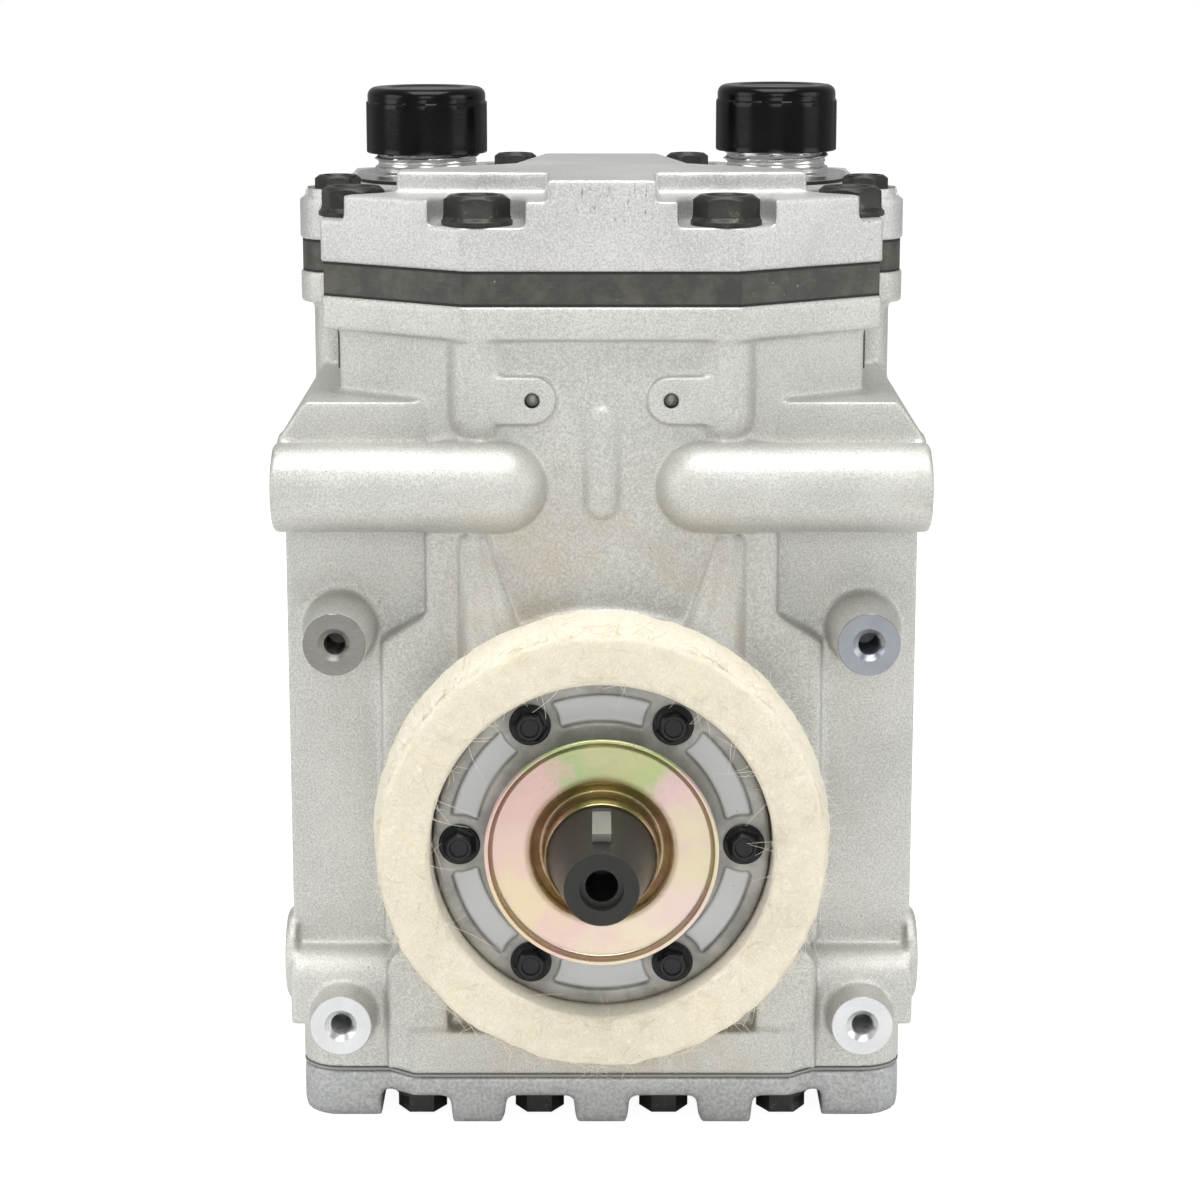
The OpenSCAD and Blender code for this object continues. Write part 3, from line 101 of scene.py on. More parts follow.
class Shader:
    """One procedural material, with its nodes added by one method."""

    def __init__(self, name: str) -> None:
        """Starts a material that holds a Principled shader alone."""
        self.material = bpy.data.materials.new(name)
        self.material.use_nodes = True
        self.tree = self.material.node_tree
        self.tree.nodes.clear()
        self.bsdf = self.tree.nodes.new("ShaderNodeBsdfPrincipled")
        output = self.tree.nodes.new("ShaderNodeOutputMaterial")
        self.tree.links.new(self.bsdf.outputs[0], output.inputs[0])

    def plug(self, socket: Any, value: Any) -> None:
        """Sets a socket to a number or colour, or links a wire to it."""
        if isinstance(value, Wire):
            self.tree.links.new(value.socket, socket)
            return
        if isinstance(value, tuple) and len(value) == 3 and socket.type == "RGBA":
            value = (*value, 1.0)
        socket.default_value = value

    def add(self, kind: str, settings: dict[str, Any], sockets: dict[Any, Any], output: Any = 0) -> Wire:
        """Adds a node.

        Args:
            kind: Blender's name of the node type.
            settings: Properties that are set first; "stops" holds a ramp's places and colours.
            sockets: Values or wires by input name or number.
            output: Name or number of the output to return.

        Returns:
            The chosen output.
        """
        node = self.tree.nodes.new(kind)
        for key, value in settings.items():
            if key != "stops":
                setattr(node, key, value)
                continue
            elements = node.color_ramp.elements
            while len(elements) < len(value):
                elements.new(0.5)
            for element, (place, colour) in zip(elements, value):
                element.position = place
                element.color = (*colour, 1.0)
        for key, value in sockets.items():
            self.plug(node.inputs[key], value)
        return Wire(self, node.outputs[output])

    def place(self) -> Wire:
        """Object coordinates, in metres."""
        return self.add("ShaderNodeTexCoord", {}, {}, "Object")

    def axis(self, place: Wire, name: str) -> Wire:
        """One coordinate of a place."""
        return self.add("ShaderNodeSeparateXYZ", {}, {0: place}, name)

    def noise(self, place: Wire, size_mm: float, detail: float = 3.0, roughness: float = 0.55) -> Wire:
        """Noise from nought to one whose patches are about the given size in millimetres."""
        sockets = {"Vector": place, "Scale": 1.0 / (size_mm * MM), "Detail": detail, "Roughness": roughness}
        return self.add("ShaderNodeTexNoise", {}, sockets, 0)

    def stretched(self, place: Wire, scale: tuple[float, float, float]) -> Wire:
        """Place scaled differently along each axis."""
        return self.add("ShaderNodeMapping", {}, {"Vector": place, "Scale": scale})

    def specks(self, place: Wire, pitch_mm: float, size: float) -> Wire:
        """Mask of scattered round specks, one in each cell of the given pitch."""
        sockets = {"Vector": place, "Scale": 1.0 / (pitch_mm * MM), "Randomness": 1.0}
        distance = self.add("ShaderNodeTexVoronoi", {"feature": "F1"}, sockets, "Distance")
        return 1.0 - distance.step(size * 0.6, size)

    def mix(self, mask: Any, first: Any, second: Any) -> Wire:
        """Mix of two colours by a mask."""
        settings = {"data_type": "RGBA", "blend_type": "MIX"}
        return self.add("ShaderNodeMix", settings, {0: mask, 6: first, 7: second}, 2)

    def bump(self, height: Wire, depth_mm: float, strength: float = 1.0, under: Any = None) -> Wire:
        """Normal bent by a height field of the given depth."""
        sockets = {"Strength": strength, "Distance": depth_mm * MM, "Height": height}
        if under is not None:
            sockets["Normal"] = under
        return self.add("ShaderNodeBump", {}, sockets)

    def finish(self, **sockets: Any) -> bpy.types.Material:
        """Plugs the Principled shader, with underscores for spaces in its socket names."""
        for key, value in sockets.items():
            self.plug(self.bsdf.inputs[key.replace("_", " ")], value)
        return self.material


# Finishes


@dataclass(frozen=True)
class Casting:
    """Blasted aluminium casting with a fine grain, pale blotches and stains."""

    name: str
    tone: Colour = (0.60, 0.597, 0.565)
    grain_mm: float = 0.42
    grain_depth_mm: float = 0.14
    stain: Colour = (0.43, 0.36, 0.25)
    stain_amount: float = 0.25
    roughness: float = 0.46
    metallic: float = 0.62
    halo: float = 0.0
    scuffs: float = 0.0
    axis_z: float = 67.5 * MM
    front_y: float = -72.0 * MM

    def halo_mask(self, s: Shader, p: Wire) -> Wire:
        """Oily haze on the front wall above the felt ring, fading from its rim outwards."""
        x, y, z = (s.axis(p, name) for name in "XYZ")
        rise = z - self.axis_z
        out = s.add("ShaderNodeMath", {"operation": "SQRT"}, {0: x * x + rise * rise})
        aside = s.add("ShaderNodeMath", {"operation": "ABSOLUTE"}, {0: x}).step(24.0 * MM, 44.0 * MM)
        behind = y.step(self.front_y + 0.5 * MM, self.front_y + 3.0 * MM)
        near = (1.0 - aside) * (1.0 - out.step(50.0 * MM, 92.0 * MM)) * (1.0 - behind)
        return near * s.noise(p, 16.0, 4.0, 0.65).step(0.34, 0.66) * self.halo

    def scuff_mask(self, s: Shader, p: Wire) -> Wire:
        """Short upright scratches on the middle of the head's front edge."""
        x, y, z = (s.axis(p, name) for name in "XYZ")
        across = x.step(-13.0 * MM, -8.0 * MM) * (1.0 - x.step(9.0 * MM, 15.0 * MM))
        across = across * (1.0 - y.step(self.front_y + 20.0 * MM, self.front_y + 24.0 * MM))
        band = z.step(198.0 * MM, 203.0 * MM) * (1.0 - z.step(209.0 * MM, 209.8 * MM))
        strokes = s.noise(s.stretched(p, (4.0, 1.0, 0.8)), 3.0, 3.0, 0.7).step(0.60, 0.68)
        return strokes * across * band * self.scuffs

    def make(self) -> bpy.types.Material:
        """Builds the material."""
        s = Shader(self.name)
        p = s.place()
        grain = s.noise(p, self.grain_mm, 4.0, 0.7)
        blotch = s.noise(p, 22.0, 3.0)
        stain = s.noise(p, 34.0, 5.0, 0.62).step(0.60, 0.80) * self.stain_amount
        pits = s.specks(p, 3.2, 0.07) * s.noise(p, 9.0, 1.0).step(0.52, 0.6)
        dark = tuple(c * 0.76 for c in self.tone)
        light = tuple(min(c * 1.16, 1.0) for c in self.tone)
        base = s.mix((grain * 0.8 + blotch * 0.2).step(0.36, 0.64), dark, light)
        base = s.mix(stain, base, self.stain)
        if self.halo:
            base = s.mix(self.halo_mask(s, p), base, (0.52, 0.44, 0.31))
        if self.scuffs:
            base = s.mix(self.scuff_mask(s, p), base, (0.17, 0.165, 0.15))
        base = s.mix(pits * 0.55, base, (0.16, 0.15, 0.14))
        height = grain - pits * 1.2
        return s.finish(
            Base_Color=base,
            Roughness=self.roughness + (blotch - 0.5) * 0.12,
            Metallic=self.metallic,
            Normal=s.bump(height, self.grain_depth_mm, 0.75),
        )


@dataclass(frozen=True)
class Machined:
    """Cut or ground metal with fine tool marks along one direction or round an axis."""

    name: str
    tone: Colour
    roughness: float = 0.28
    metallic: float = 0.9
    marks: tuple[float, float, float] = (1.0, 1.0, 6.0)
    mark_mm: float = 0.8
    nicks: float = 0.15

    def make(self) -> bpy.types.Material:
        """Builds the material."""
        s = Shader(self.name)
        p = s.place()
        marks = s.noise(s.stretched(p, self.marks), self.mark_mm, 2.0)
        cloud = s.noise(p, 6.0, 3.0)
        nick = s.noise(p, 1.7, 2.0, 0.8).step(0.70, 0.78) * self.nicks
        dark = tuple(c * 0.82 for c in self.tone)
        base = s.mix((marks * 0.5 + cloud * 0.5).step(0.3, 0.7), dark, self.tone)
        base = s.mix(nick, base, tuple(c * 0.4 for c in self.tone))
        return s.finish(
            Base_Color=base,
            Roughness=self.roughness + (cloud - 0.5) * 0.16,
            Metallic=self.metallic,
            Normal=s.bump(marks, 0.02, 0.5),
        )


@dataclass(frozen=True)
class BlackOxide:
    """Charcoal bolt finish that is rubbed lighter in patches."""

    name: str
    tone: Colour = (0.034, 0.034, 0.029)
    rubbed: Colour = (0.19, 0.18, 0.155)
    wear: float = 0.5

    def make(self) -> bpy.types.Material:
        """Builds the material."""
        s = Shader(self.name)
        p = s.place()
        cloud = s.noise(p, 3.2, 5.0, 0.65)
        fine = s.noise(p, 0.5, 3.0, 0.7)
        worn = (cloud * 0.6 + fine * 0.4).step(0.52, 0.68) * self.wear
        base = s.mix(worn, self.tone, self.rubbed)
        return s.finish(
            Base_Color=base,
            Roughness=0.40 + (fine - 0.5) * 0.3,
            Metallic=0.55,
            Normal=s.bump(fine, 0.05, 0.6),
        )


@dataclass(frozen=True)
class PlateSteel:
    """Dark oily plate steel with olive mottling, pale specks and run marks."""

    name: str

    def make(self) -> bpy.types.Material:
        """Builds the material."""
        s = Shader(self.name)
        p = s.place()
        mottle = s.noise(p, 7.0, 6.0, 0.7)
        drawn = s.noise(s.stretched(p, (1.0, 1.0, 5.0)), 3.0, 3.0)
        specks = s.specks(p, 2.4, 0.10) * s.noise(p, 11.0, 2.0).step(0.50, 0.62)
        base = s.mix(mottle.step(0.38, 0.68), (0.062, 0.064, 0.058), (0.105, 0.102, 0.086))
        base = s.mix(drawn.step(0.55, 0.8) * 0.4, base, (0.16, 0.16, 0.15))
        base = s.mix(specks * 0.8, base, (0.45, 0.44, 0.40))
        return s.finish(
            Base_Color=base,
            Roughness=0.42 + (mottle - 0.5) * 0.3,
            Metallic=0.6,
            Normal=s.bump(mottle, 0.06, 0.5),
        )


@dataclass(frozen=True)
class Moulded:
    """Moulded plastic or rubber with a faint orange peel."""

    name: str
    tone: Colour
    roughness: float = 0.32
    peel_mm: float = 0.9
    shine: float = 0.5

    def make(self) -> bpy.types.Material:
        """Builds the material."""
        s = Shader(self.name)
        p = s.place()
        peel = s.noise(p, self.peel_mm, 2.0)
        dust = s.noise(p, 0.4, 2.0).step(0.72, 0.8) * s.noise(p, 8.0, 2.0).step(0.5, 0.7) * 0.12
        base = s.mix(dust, self.tone, (0.4, 0.4, 0.4))
        s.bsdf.inputs["Specular IOR Level"].default_value = self.shine
        return s.finish(
            Base_Color=base,
            Roughness=self.roughness + (peel - 0.5) * 0.08,
            Normal=s.bump(peel, 0.03, 0.4),
        )


@dataclass(frozen=True)
class WoolFelt:
    """Cream pressed wool with tangled fibres."""

    name: str

    def make(self) -> bpy.types.Material:
        """Builds the material."""
        s = Shader(self.name)
        p = s.place()
        bend = s.add("ShaderNodeVectorMath", {"operation": "SCALE"}, {0: s.add(
            "ShaderNodeTexNoise", {}, {"Vector": p, "Scale": 260.0, "Detail": 3.0}, 1), "Scale": 0.006})
        q = s.add("ShaderNodeVectorMath", {"operation": "ADD"}, {0: p, 1: bend})
        tangle = s.noise(s.stretched(q, (1.0, 1.0, 7.0)), 1.0, 4.0, 0.75)
        cross = s.noise(s.stretched(q, (7.0, 1.0, 1.0)), 1.0, 4.0, 0.75)
        cloud = s.noise(p, 12.0, 4.0)
        fibre = (tangle * 0.5 + cross * 0.5).step(0.36, 0.64)
        base = s.mix(fibre, (0.77, 0.68, 0.49), (0.95, 0.91, 0.77))
        base = s.mix(cloud.step(0.45, 0.75) * 0.30, base, (0.90, 0.81, 0.60))
        shader = s.finish(
            Base_Color=base,
            Roughness=0.95,
            Normal=s.bump(fibre, 0.13, 0.6),
        )
        s.bsdf.inputs["Sheen Weight"].default_value = 0.35
        s.bsdf.inputs["Sheen Roughness"].default_value = 0.6
        return shader


@dataclass(frozen=True)
class SealCasting:
    """Casting whose face is rubbed to a warm grey and whose shallow pockets keep a pale blasted floor."""

    name: str
    face_tone: Colour = (0.46, 0.45, 0.42)
    floor_tone: Colour = (0.62, 0.63, 0.63)
    face_y: float = -88.5 * MM
    pocket_mm: float = 1.2

    def make(self) -> bpy.types.Material:
        """Builds the material."""
        s = Shader(self.name)
        p = s.place()
        grain = s.noise(p, 0.5, 4.0, 0.7)
        blotch = s.noise(p, 9.0, 4.0, 0.6)
        y = s.axis(p, "Y") - self.face_y
        floor = y.step(0.55 * self.pocket_mm * MM, 0.85 * self.pocket_mm * MM)
        dark = tuple(c * 0.66 for c in self.face_tone)
        face = s.mix(blotch.step(0.40, 0.66), dark, self.face_tone)
        base = s.mix(floor, face, self.floor_tone)
        base = s.mix((grain - 0.5).step(0.02, 0.3) * 0.35, base, (0.62, 0.61, 0.58))
        specks = s.specks(p, 2.6, 0.08) * s.noise(p, 6.0, 1.0).step(0.5, 0.6)
        base = s.mix(specks * 0.7, base, (0.10, 0.08, 0.06))
        return s.finish(
            Base_Color=base,
            Roughness=0.46 + floor * 0.10,
            Metallic=0.55,
            Normal=s.bump(grain, 0.07, 0.7),
        )


@dataclass(frozen=True)
class YellowZinc:
    """Passivated zinc sheet whose thin film turns from yellow to green and pink in drifting patches, with
    painted shade in its trough.
    """

    name: str
    axis_z: float = 67.5 * MM
    trough_r: float = 15.6 * MM

    def make(self) -> bpy.types.Material:
        """Builds the material."""
        s = Shader(self.name)
        p = s.place()
        x = s.axis(p, "X")
        z = s.axis(p, "Z") - self.axis_z
        turn = s.add("ShaderNodeMath", {"operation": "ARCTAN2"}, {0: z, 1: x}) / (2.0 * math.pi) + 0.5
        out = s.add("ShaderNodeMath", {"operation": "SQRT"}, {0: x * x + z * z})
        cloud = s.noise(p, 11.0, 3.0, 0.6)
        wisp = s.noise(s.stretched(p, (1.0, 1.0, 2.4)), 5.0, 4.0, 0.7)
        film = (turn + (cloud - 0.5) * 0.34 + (wisp - 0.5) * 0.10).clamp()
        stops = [
            (0.00, (0.71, 0.53, 0.46)), (0.10, (0.74, 0.62, 0.42)), (0.20, (0.74, 0.54, 0.50)),
            (0.30, (0.76, 0.67, 0.50)), (0.40, (0.75, 0.58, 0.54)), (0.50, (0.69, 0.62, 0.42)),
            (0.58, (0.70, 0.50, 0.50)), (0.66, (0.44, 0.53, 0.25)), (0.74, (0.54, 0.53, 0.29)),
            (0.82, (0.41, 0.51, 0.25)), (0.90, (0.66, 0.46, 0.42)), (1.00, (0.71, 0.53, 0.46))]
        base = s.add("ShaderNodeValToRGB", {"stops": stops}, {0: film})
        # Painted shade: the trough inside trough_r is coloured dark brown to stand in for the shade of the
        # recess.
        trough = 1.0 - out.step(self.trough_r, self.trough_r + 1.5 * MM)
        base = s.mix(trough * (0.72 + (wisp - 0.5) * 0.9), base, (0.25, 0.17, 0.07))
        fine = s.noise(p, 0.5, 3.0)
        return s.finish(
            Base_Color=s.mix(fine.step(0.6, 0.8) * 0.3, base, (0.84, 0.78, 0.56)),
            Roughness=0.26 + (cloud - 0.5) * 0.10,
            Metallic=0.90,
            Normal=s.bump(fine, 0.015, 0.4),
        )


# Surfaces


def grid_faces(rows: int, columns: int, wrap: bool = True) -> np.ndarray:
    """Quads that join a grid of points.

    Args:
        rows: Number of rings.
        columns: Points in each ring.
        wrap: Whether each ring closes on itself.

    Returns:
        An array with one row of four point numbers for each face.
    """
    ring = np.arange(columns if wrap else columns - 1)
    start = np.arange(rows - 1)[:, None] * columns
    after = (ring + 1) % columns
    quads = [start + ring, start + after, start + columns + after, start + columns + ring]
    return np.stack(quads, axis=-1).reshape(-1, 4)


def piece(name: str, points: np.ndarray, faces: np.ndarray, sharp_deg: float = 40.0) -> bpy.types.Object:
    """Makes an object from points in millimetres, with doubles merged and normals outwards.

    Args:
        name: Name of the object.
        points: One point a row.
        faces: One face a row.
        sharp_deg: Edges sharper than this stay crisp.

    Returns:
        The new object, at the origin.
    """
    mesh = bpy.data.meshes.new(name)
    mesh.from_pydata((points * MM).tolist(), [], faces.tolist())
    work = bmesh.new()
    work.from_mesh(mesh)
    bmesh.ops.remove_doubles(work, verts=work.verts, dist=2e-6)
    bmesh.ops.dissolve_degenerate(work, edges=work.edges, dist=1e-7)
    bmesh.ops.recalc_face_normals(work, faces=work.faces)
    work.to_mesh(mesh)
    work.free()
    mesh.shade_smooth()
    mesh.set_sharp_from_angle(angle=math.radians(sharp_deg))
    made = bpy.data.objects.new(name, mesh)
    bpy.context.scene.collection.objects.link(made)
    return made


def turned(profile: Iterable[tuple[float, float]], segments: int = 96,
           radius: Callable[[np.ndarray, np.ndarray, np.ndarray], np.ndarray] | None = None) -> tuple:
    """Surface of revolution about Z: each profile point (r, h) goes round as (r cos t, r sin t, h).

    Args:
        profile: Radii and heights in order along the outline.
        segments: Points in each ring.
        radius: Optional function of radius, height and angle that gives a changed radius.

    Returns:
        Points and faces.
    """
    outline = np.array(list(profile), float)
    turn = np.linspace(0.0, 2.0 * math.pi, segments, endpoint=False)
    r = np.repeat(outline[:, :1], segments, axis=1)
    h = np.repeat(outline[:, 1:2], segments, axis=1)
    t = np.repeat(turn[None, :], len(outline), axis=0)
    if radius is not None:
        r = radius(r, h, t)
    points = np.stack([r * np.cos(t), r * np.sin(t), h], axis=-1).reshape(-1, 3)
    return points, grid_faces(len(outline), segments)


def closed(profile: list[tuple[float, float]]) -> list[tuple[float, float]]:
    """Profile that returns to its first point, for a ring."""
    return [*profile, profile[0]]


def arc(centre: tuple[float, float], r: float, start: float, end: float,
        steps: int = 6) -> list[tuple[float, float]]:
    """Points along a circle's arc, with the angles in degrees."""
    turn = np.radians(np.linspace(start, end, steps))
    return [(centre[0] + r * math.cos(a), centre[1] + r * math.sin(a)) for a in turn]


def to_front(points: np.ndarray, centre: tuple[float, float, float]) -> np.ndarray:
    """Turns points drawn about Z so that their Z looks towards -Y, and moves them to a centre."""
    return np.stack([points[:, 0], -points[:, 2], points[:, 1]], axis=-1) + np.array(centre)


def joined(parts: list[tuple[np.ndarray, np.ndarray]]) -> tuple[np.ndarray, np.ndarray]:
    """Several surfaces as one list of points and one of faces."""
    points, faces, count = [], [], 0
    for p, f in parts:
        points.append(p)
        faces.append(f + count)
        count += len(p)
    return np.concatenate(points), np.concatenate(faces)


def hex_bolt(af: float, flange: float, height: float, turn_deg: float = 0.0) -> tuple[np.ndarray, np.ndarray]:
    """Head of a flange bolt: rings whose radius is the lesser of a circle and of a hexagon.

    The hexagon's radius at angle t is af / 2 / cos(t folded to within 30 degrees). Its top corners are cut by a
    cone, so each corner ends lower by its excess radius times the tangent of 30 degrees.

    Args:
        af: Width across flats.
        flange: Radius of the flange.
        height: Height of the head with its flange.
        turn_deg: Turn of the hexagon about its axis.

    Returns:
        Points and faces, with the seat at nought.
    """
    count = 72
    t = np.linspace(0.0, 2.0 * math.pi, count, endpoint=False)
    fold = (t - math.radians(turn_deg) + math.pi / 6) % (math.pi / 3) - math.pi / 6
    hexagon = af / 2 / np.cos(fold)
    hexagon = np.minimum(hexagon, af / 2 * 1.135)
    inner = af / 2 * 0.92
    rim = flange * 0.12
    root = height * 0.27
    chamfer = height - (hexagon - inner) * math.tan(math.radians(32.0))
    one = np.ones(count)
    rings = [
        (one * flange * 0.55, one * 0.0), (one * (flange - 0.15), one * 0.0), (one * flange, one * 0.15),
        (one * flange, one * rim), (one * (flange - 0.25), one * (rim + 0.2)),
        (np.minimum(hexagon + 0.75, flange - 0.4), one * (root - 0.35)), (hexagon + 0.18, one * (root - 0.05)),
        (hexagon, one * (root + 0.25)), (hexagon, chamfer - 0.12), (hexagon - 0.16, chamfer + 0.02),
        (one * inner, one * height), (one * inner * 0.80, one * height),
        (one * inner * 0.70, one * (height - 0.45)), (one * inner * 0.35, one * (height - 0.55)),
        (one * 0.0, one * (height - 0.55))]
    points = np.stack([np.stack([r * np.cos(t), r * np.sin(t), h], axis=-1) for r, h in rings]).reshape(-1, 3)
    return points, grid_faces(len(rings), count)


def merged_copy(node: str, name: str) -> bpy.types.Object:
    """Copy of a CAD node's mesh with its loose triangles merged."""
    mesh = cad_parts[node].data.copy()
    work = bmesh.new()
    work.from_mesh(mesh)
    bmesh.ops.remove_doubles(work, verts=work.verts, dist=2e-6)
    work.to_mesh(mesh)
    work.free()
    made = bpy.data.objects.new(name, mesh)
    bpy.context.scene.collection.objects.link(made)
    return made


def settle(made: bpy.types.Object) -> None:
    """Replaces an object's mesh with the result of its modifiers."""
    graph = bpy.context.evaluated_depsgraph_get()
    mesh = bpy.data.meshes.new_from_object(made.evaluated_get(graph))
    made.modifiers.clear()
    made.data = mesh


def points_of(mesh: bpy.types.Mesh) -> np.ndarray:
    """Vertices of a mesh in millimetres."""
    flat = np.empty(len(mesh.vertices) * 3)
    mesh.vertices.foreach_get("co", flat)
    return flat.reshape(-1, 3) / MM


def relax(mesh: bpy.types.Mesh, rounds: Callable[[np.ndarray], np.ndarray]) -> None:
    """Rounds the edges of a casting: each point moves half way to the mean of its neighbours, again and again.

    Args:
        mesh: Mesh to change.
        rounds: Function of the points that gives how many times each one moves.
    """
    p = points_of(mesh)
    ends = np.empty(len(mesh.edges) * 2, dtype=np.int64)
    mesh.edges.foreach_get("vertices", ends)
    a, b = ends[0::2], ends[1::2]
    degree = np.maximum(np.bincount(a, minlength=len(p)) + np.bincount(b, minlength=len(p)), 1)
    times = rounds(p)
    for step in range(int(times.max())):
        mean = np.stack([
            np.bincount(a, p[b, k], len(p)) + np.bincount(b, p[a, k], len(p)) for k in range(3)], axis=-1)
        share = 0.5 * (times > step)[:, None]
        p = p + share * (mean / degree[:, None] - p)
    mesh.vertices.foreach_set("co", (p * MM).ravel())
    mesh.update()


def cast_copy(node: str, name: str, voxel_mm: float, rounds: Callable[[np.ndarray], np.ndarray],
              most: int = 190_000) -> bpy.types.Object:
    """Copy of a CAD node with the soft edges and fillets of a casting.

    Args:
        node: CAD node that the copy stands for.
        name: Name of the copy.
        voxel_mm: Size of the grid that the shape is rebuilt on.
        rounds: Function of the points that gives how often each is smoothed.
        most: Most triangles that are kept.

    Returns:
        The copy.
    """
    made = merged_copy(node, name)
    remesh = made.modifiers.new("grid", "REMESH")
    remesh.mode = "VOXEL"
    remesh.voxel_size = voxel_mm * 1.0 * MM
    settle(made)
    relax(made.data, rounds)
    triangles = 2 * len(made.data.polygons)
    if triangles > most:
        thin = made.modifiers.new("thin", "DECIMATE")
        thin.ratio = most / triangles
        settle(made)
    made.data.shade_smooth()
    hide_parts(node)
    return made


def dress(made: bpy.types.Object, finish: bpy.types.Material, body: str) -> bpy.types.Object:
    """Gives a new piece its finish and the body that it moves with."""
    made.data.materials.clear()
    made.data.materials.append(finish)
    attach(made, body)
    LOG.info("%s: %d faces on %s", made.name, len(made.data.polygons), body)
    return made


class Look(Enum):
    """The finishes of the compressor, named for what they lie on."""

    CASE = Casting("case_casting", halo=0.5)
    HEAD = Casting("head_casting", tone=(0.61, 0.605, 0.59), grain_depth_mm=0.10, stain_amount=0.12, scuffs=0.8)
    BASE = Casting("base_casting", tone=(0.455, 0.465, 0.46), grain_mm=0.8, grain_depth_mm=0.05,
                   stain_amount=0.0)
    SEAL_PLATE = SealCasting("seal_plate_casting")
    COVER = Casting("cover_casting", tone=(0.55, 0.55, 0.54))
    # Painted shade: near-black that lines the tabs' drilled holes, standing in for the shade inside them.
    HOLE_SHADE = Moulded("painted_hole_shade", (0.006, 0.006, 0.005), roughness=0.9)
    BOSS = Machined("boss_face", (0.74, 0.75, 0.76), roughness=0.30, marks=(6.0, 1.0, 1.0))
    BOSS_DULL = Machined("boss_face_dull", (0.36, 0.38, 0.41), roughness=0.36, nicks=0.5)
    BOSS_SCUFFED = Machined("boss_face_scuffed", (0.30, 0.29, 0.27), roughness=0.5, mark_mm=2.5, nicks=0.9)
    NECK = Machined("port_neck", (0.72, 0.72, 0.71), roughness=0.22)
    BOLT = BlackOxide("bolt_black")
    SCREW = BlackOxide("seal_screw_black", tone=(0.022, 0.023, 0.026), wear=0.15)
    PLATE = PlateSteel("valve_plate_steel")
    CAP = Moulded("cap_plastic", (0.002, 0.002, 0.002), roughness=0.20, shine=0.22)
    RUBBER = Moulded("black_rubber", (0.018, 0.018, 0.018), roughness=0.6)
    GASKET = Moulded("gasket_sheet", (0.015, 0.015, 0.014), roughness=0.7, peel_mm=0.4)
    BASE_SHEET = Moulded("base_gasket_sheet", (0.30, 0.30, 0.29), roughness=0.7, peel_mm=0.4)
    FELT = WoolFelt("wool_felt")
    ZINC = YellowZinc("yellow_zinc")
    SHAFT = BlackOxide("shaft_phosphate", tone=(0.048, 0.047, 0.043), rubbed=(0.16, 0.155, 0.14), wear=0.35)
    SHAFT_FACE = Machined("shaft_end_face", (0.040, 0.039, 0.035), roughness=0.5, metallic=0.6,
                          marks=(1.0, 1.0, 1.0))
    KEY = Machined("key_steel", (0.30, 0.29, 0.27), roughness=0.5, metallic=0.25, marks=(6.0, 1.0, 1.0))
    IRON = Machined("sleeve_iron", (0.20, 0.20, 0.21), roughness=0.3)
    SPRING = Machined("spring_steel", (0.42, 0.43, 0.45), roughness=0.25)
    CARBON = Moulded("seal_carbon", (0.03, 0.03, 0.032), roughness=0.4)
    BRIGHT = Machined("bearing_steel", (0.66, 0.67, 0.68), roughness=0.12)
    BRASS = Machined("plug_brass", (0.60, 0.42, 0.16), roughness=0.25)
    PISTON = Machined("piston_alloy", (0.52, 0.53, 0.54), roughness=0.3, marks=(1.0, 1.0, 9.0))
    ROD = Casting("rod_alloy", tone=(0.42, 0.42, 0.42), stain_amount=0.0)

    def material(self) -> bpy.types.Material:
        """Material of this finish, made once."""
        if self.name not in MATERIALS:
            MATERIALS[self.name] = self.value.make()
        return MATERIALS[self.name]


MATERIALS: dict[str, bpy.types.Material] = {}

CAD_LOOKS: dict[Look, tuple[str, ...]] = {
    Look.IRON: ("cylinder_sleeve_front", "cylinder_sleeve_rear", "piston_rings_front", "piston_rings_rear"),
    Look.GASKET: ("plate_gasket", "head_gasket"),
    Look.BASE_SHEET: ("base_gasket",),
    Look.BOLT: ("base_bolts", "rear_cover_bolts", "rod_bolts_front", "rod_bolts_rear"),
    Look.PLATE: ("valve_plate",),
    Look.SPRING: ("suction_reed_front", "suction_reed_rear", "discharge_reed_front", "discharge_reed_rear",
                  "reed_stops", "reed_rivets", "seal_spring", "seal_shell"),
    Look.RUBBER: ("sealing_washers", "seal_plate_o_ring", "rear_cover_o_ring"),
    Look.CARBON: ("seal_seat", "seal_nose"),
    Look.SHAFT: ("crankshaft",),
    Look.KEY: ("shaft_key",),
    Look.NECK: ("oil_plug",),
    Look.BRIGHT: ("wrist_pin_front", "wrist_pin_rear", "front_bearing_outer", "front_bearing_inner",
                  "front_bearing_balls", "rear_bearing_outer", "rear_bearing_inner", "rear_bearing_balls"),
    Look.BRASS: ("web_plug_front", "web_plug_rear"),
    Look.PISTON: ("piston_front", "piston_rear"),
    Look.ROD: ("con_rod_front", "con_rod_rear", "big_end_front", "big_end_rear", "rod_cap_front",
               "rod_cap_rear"),
}


# Sub-assemblies, with their sizes in millimetres


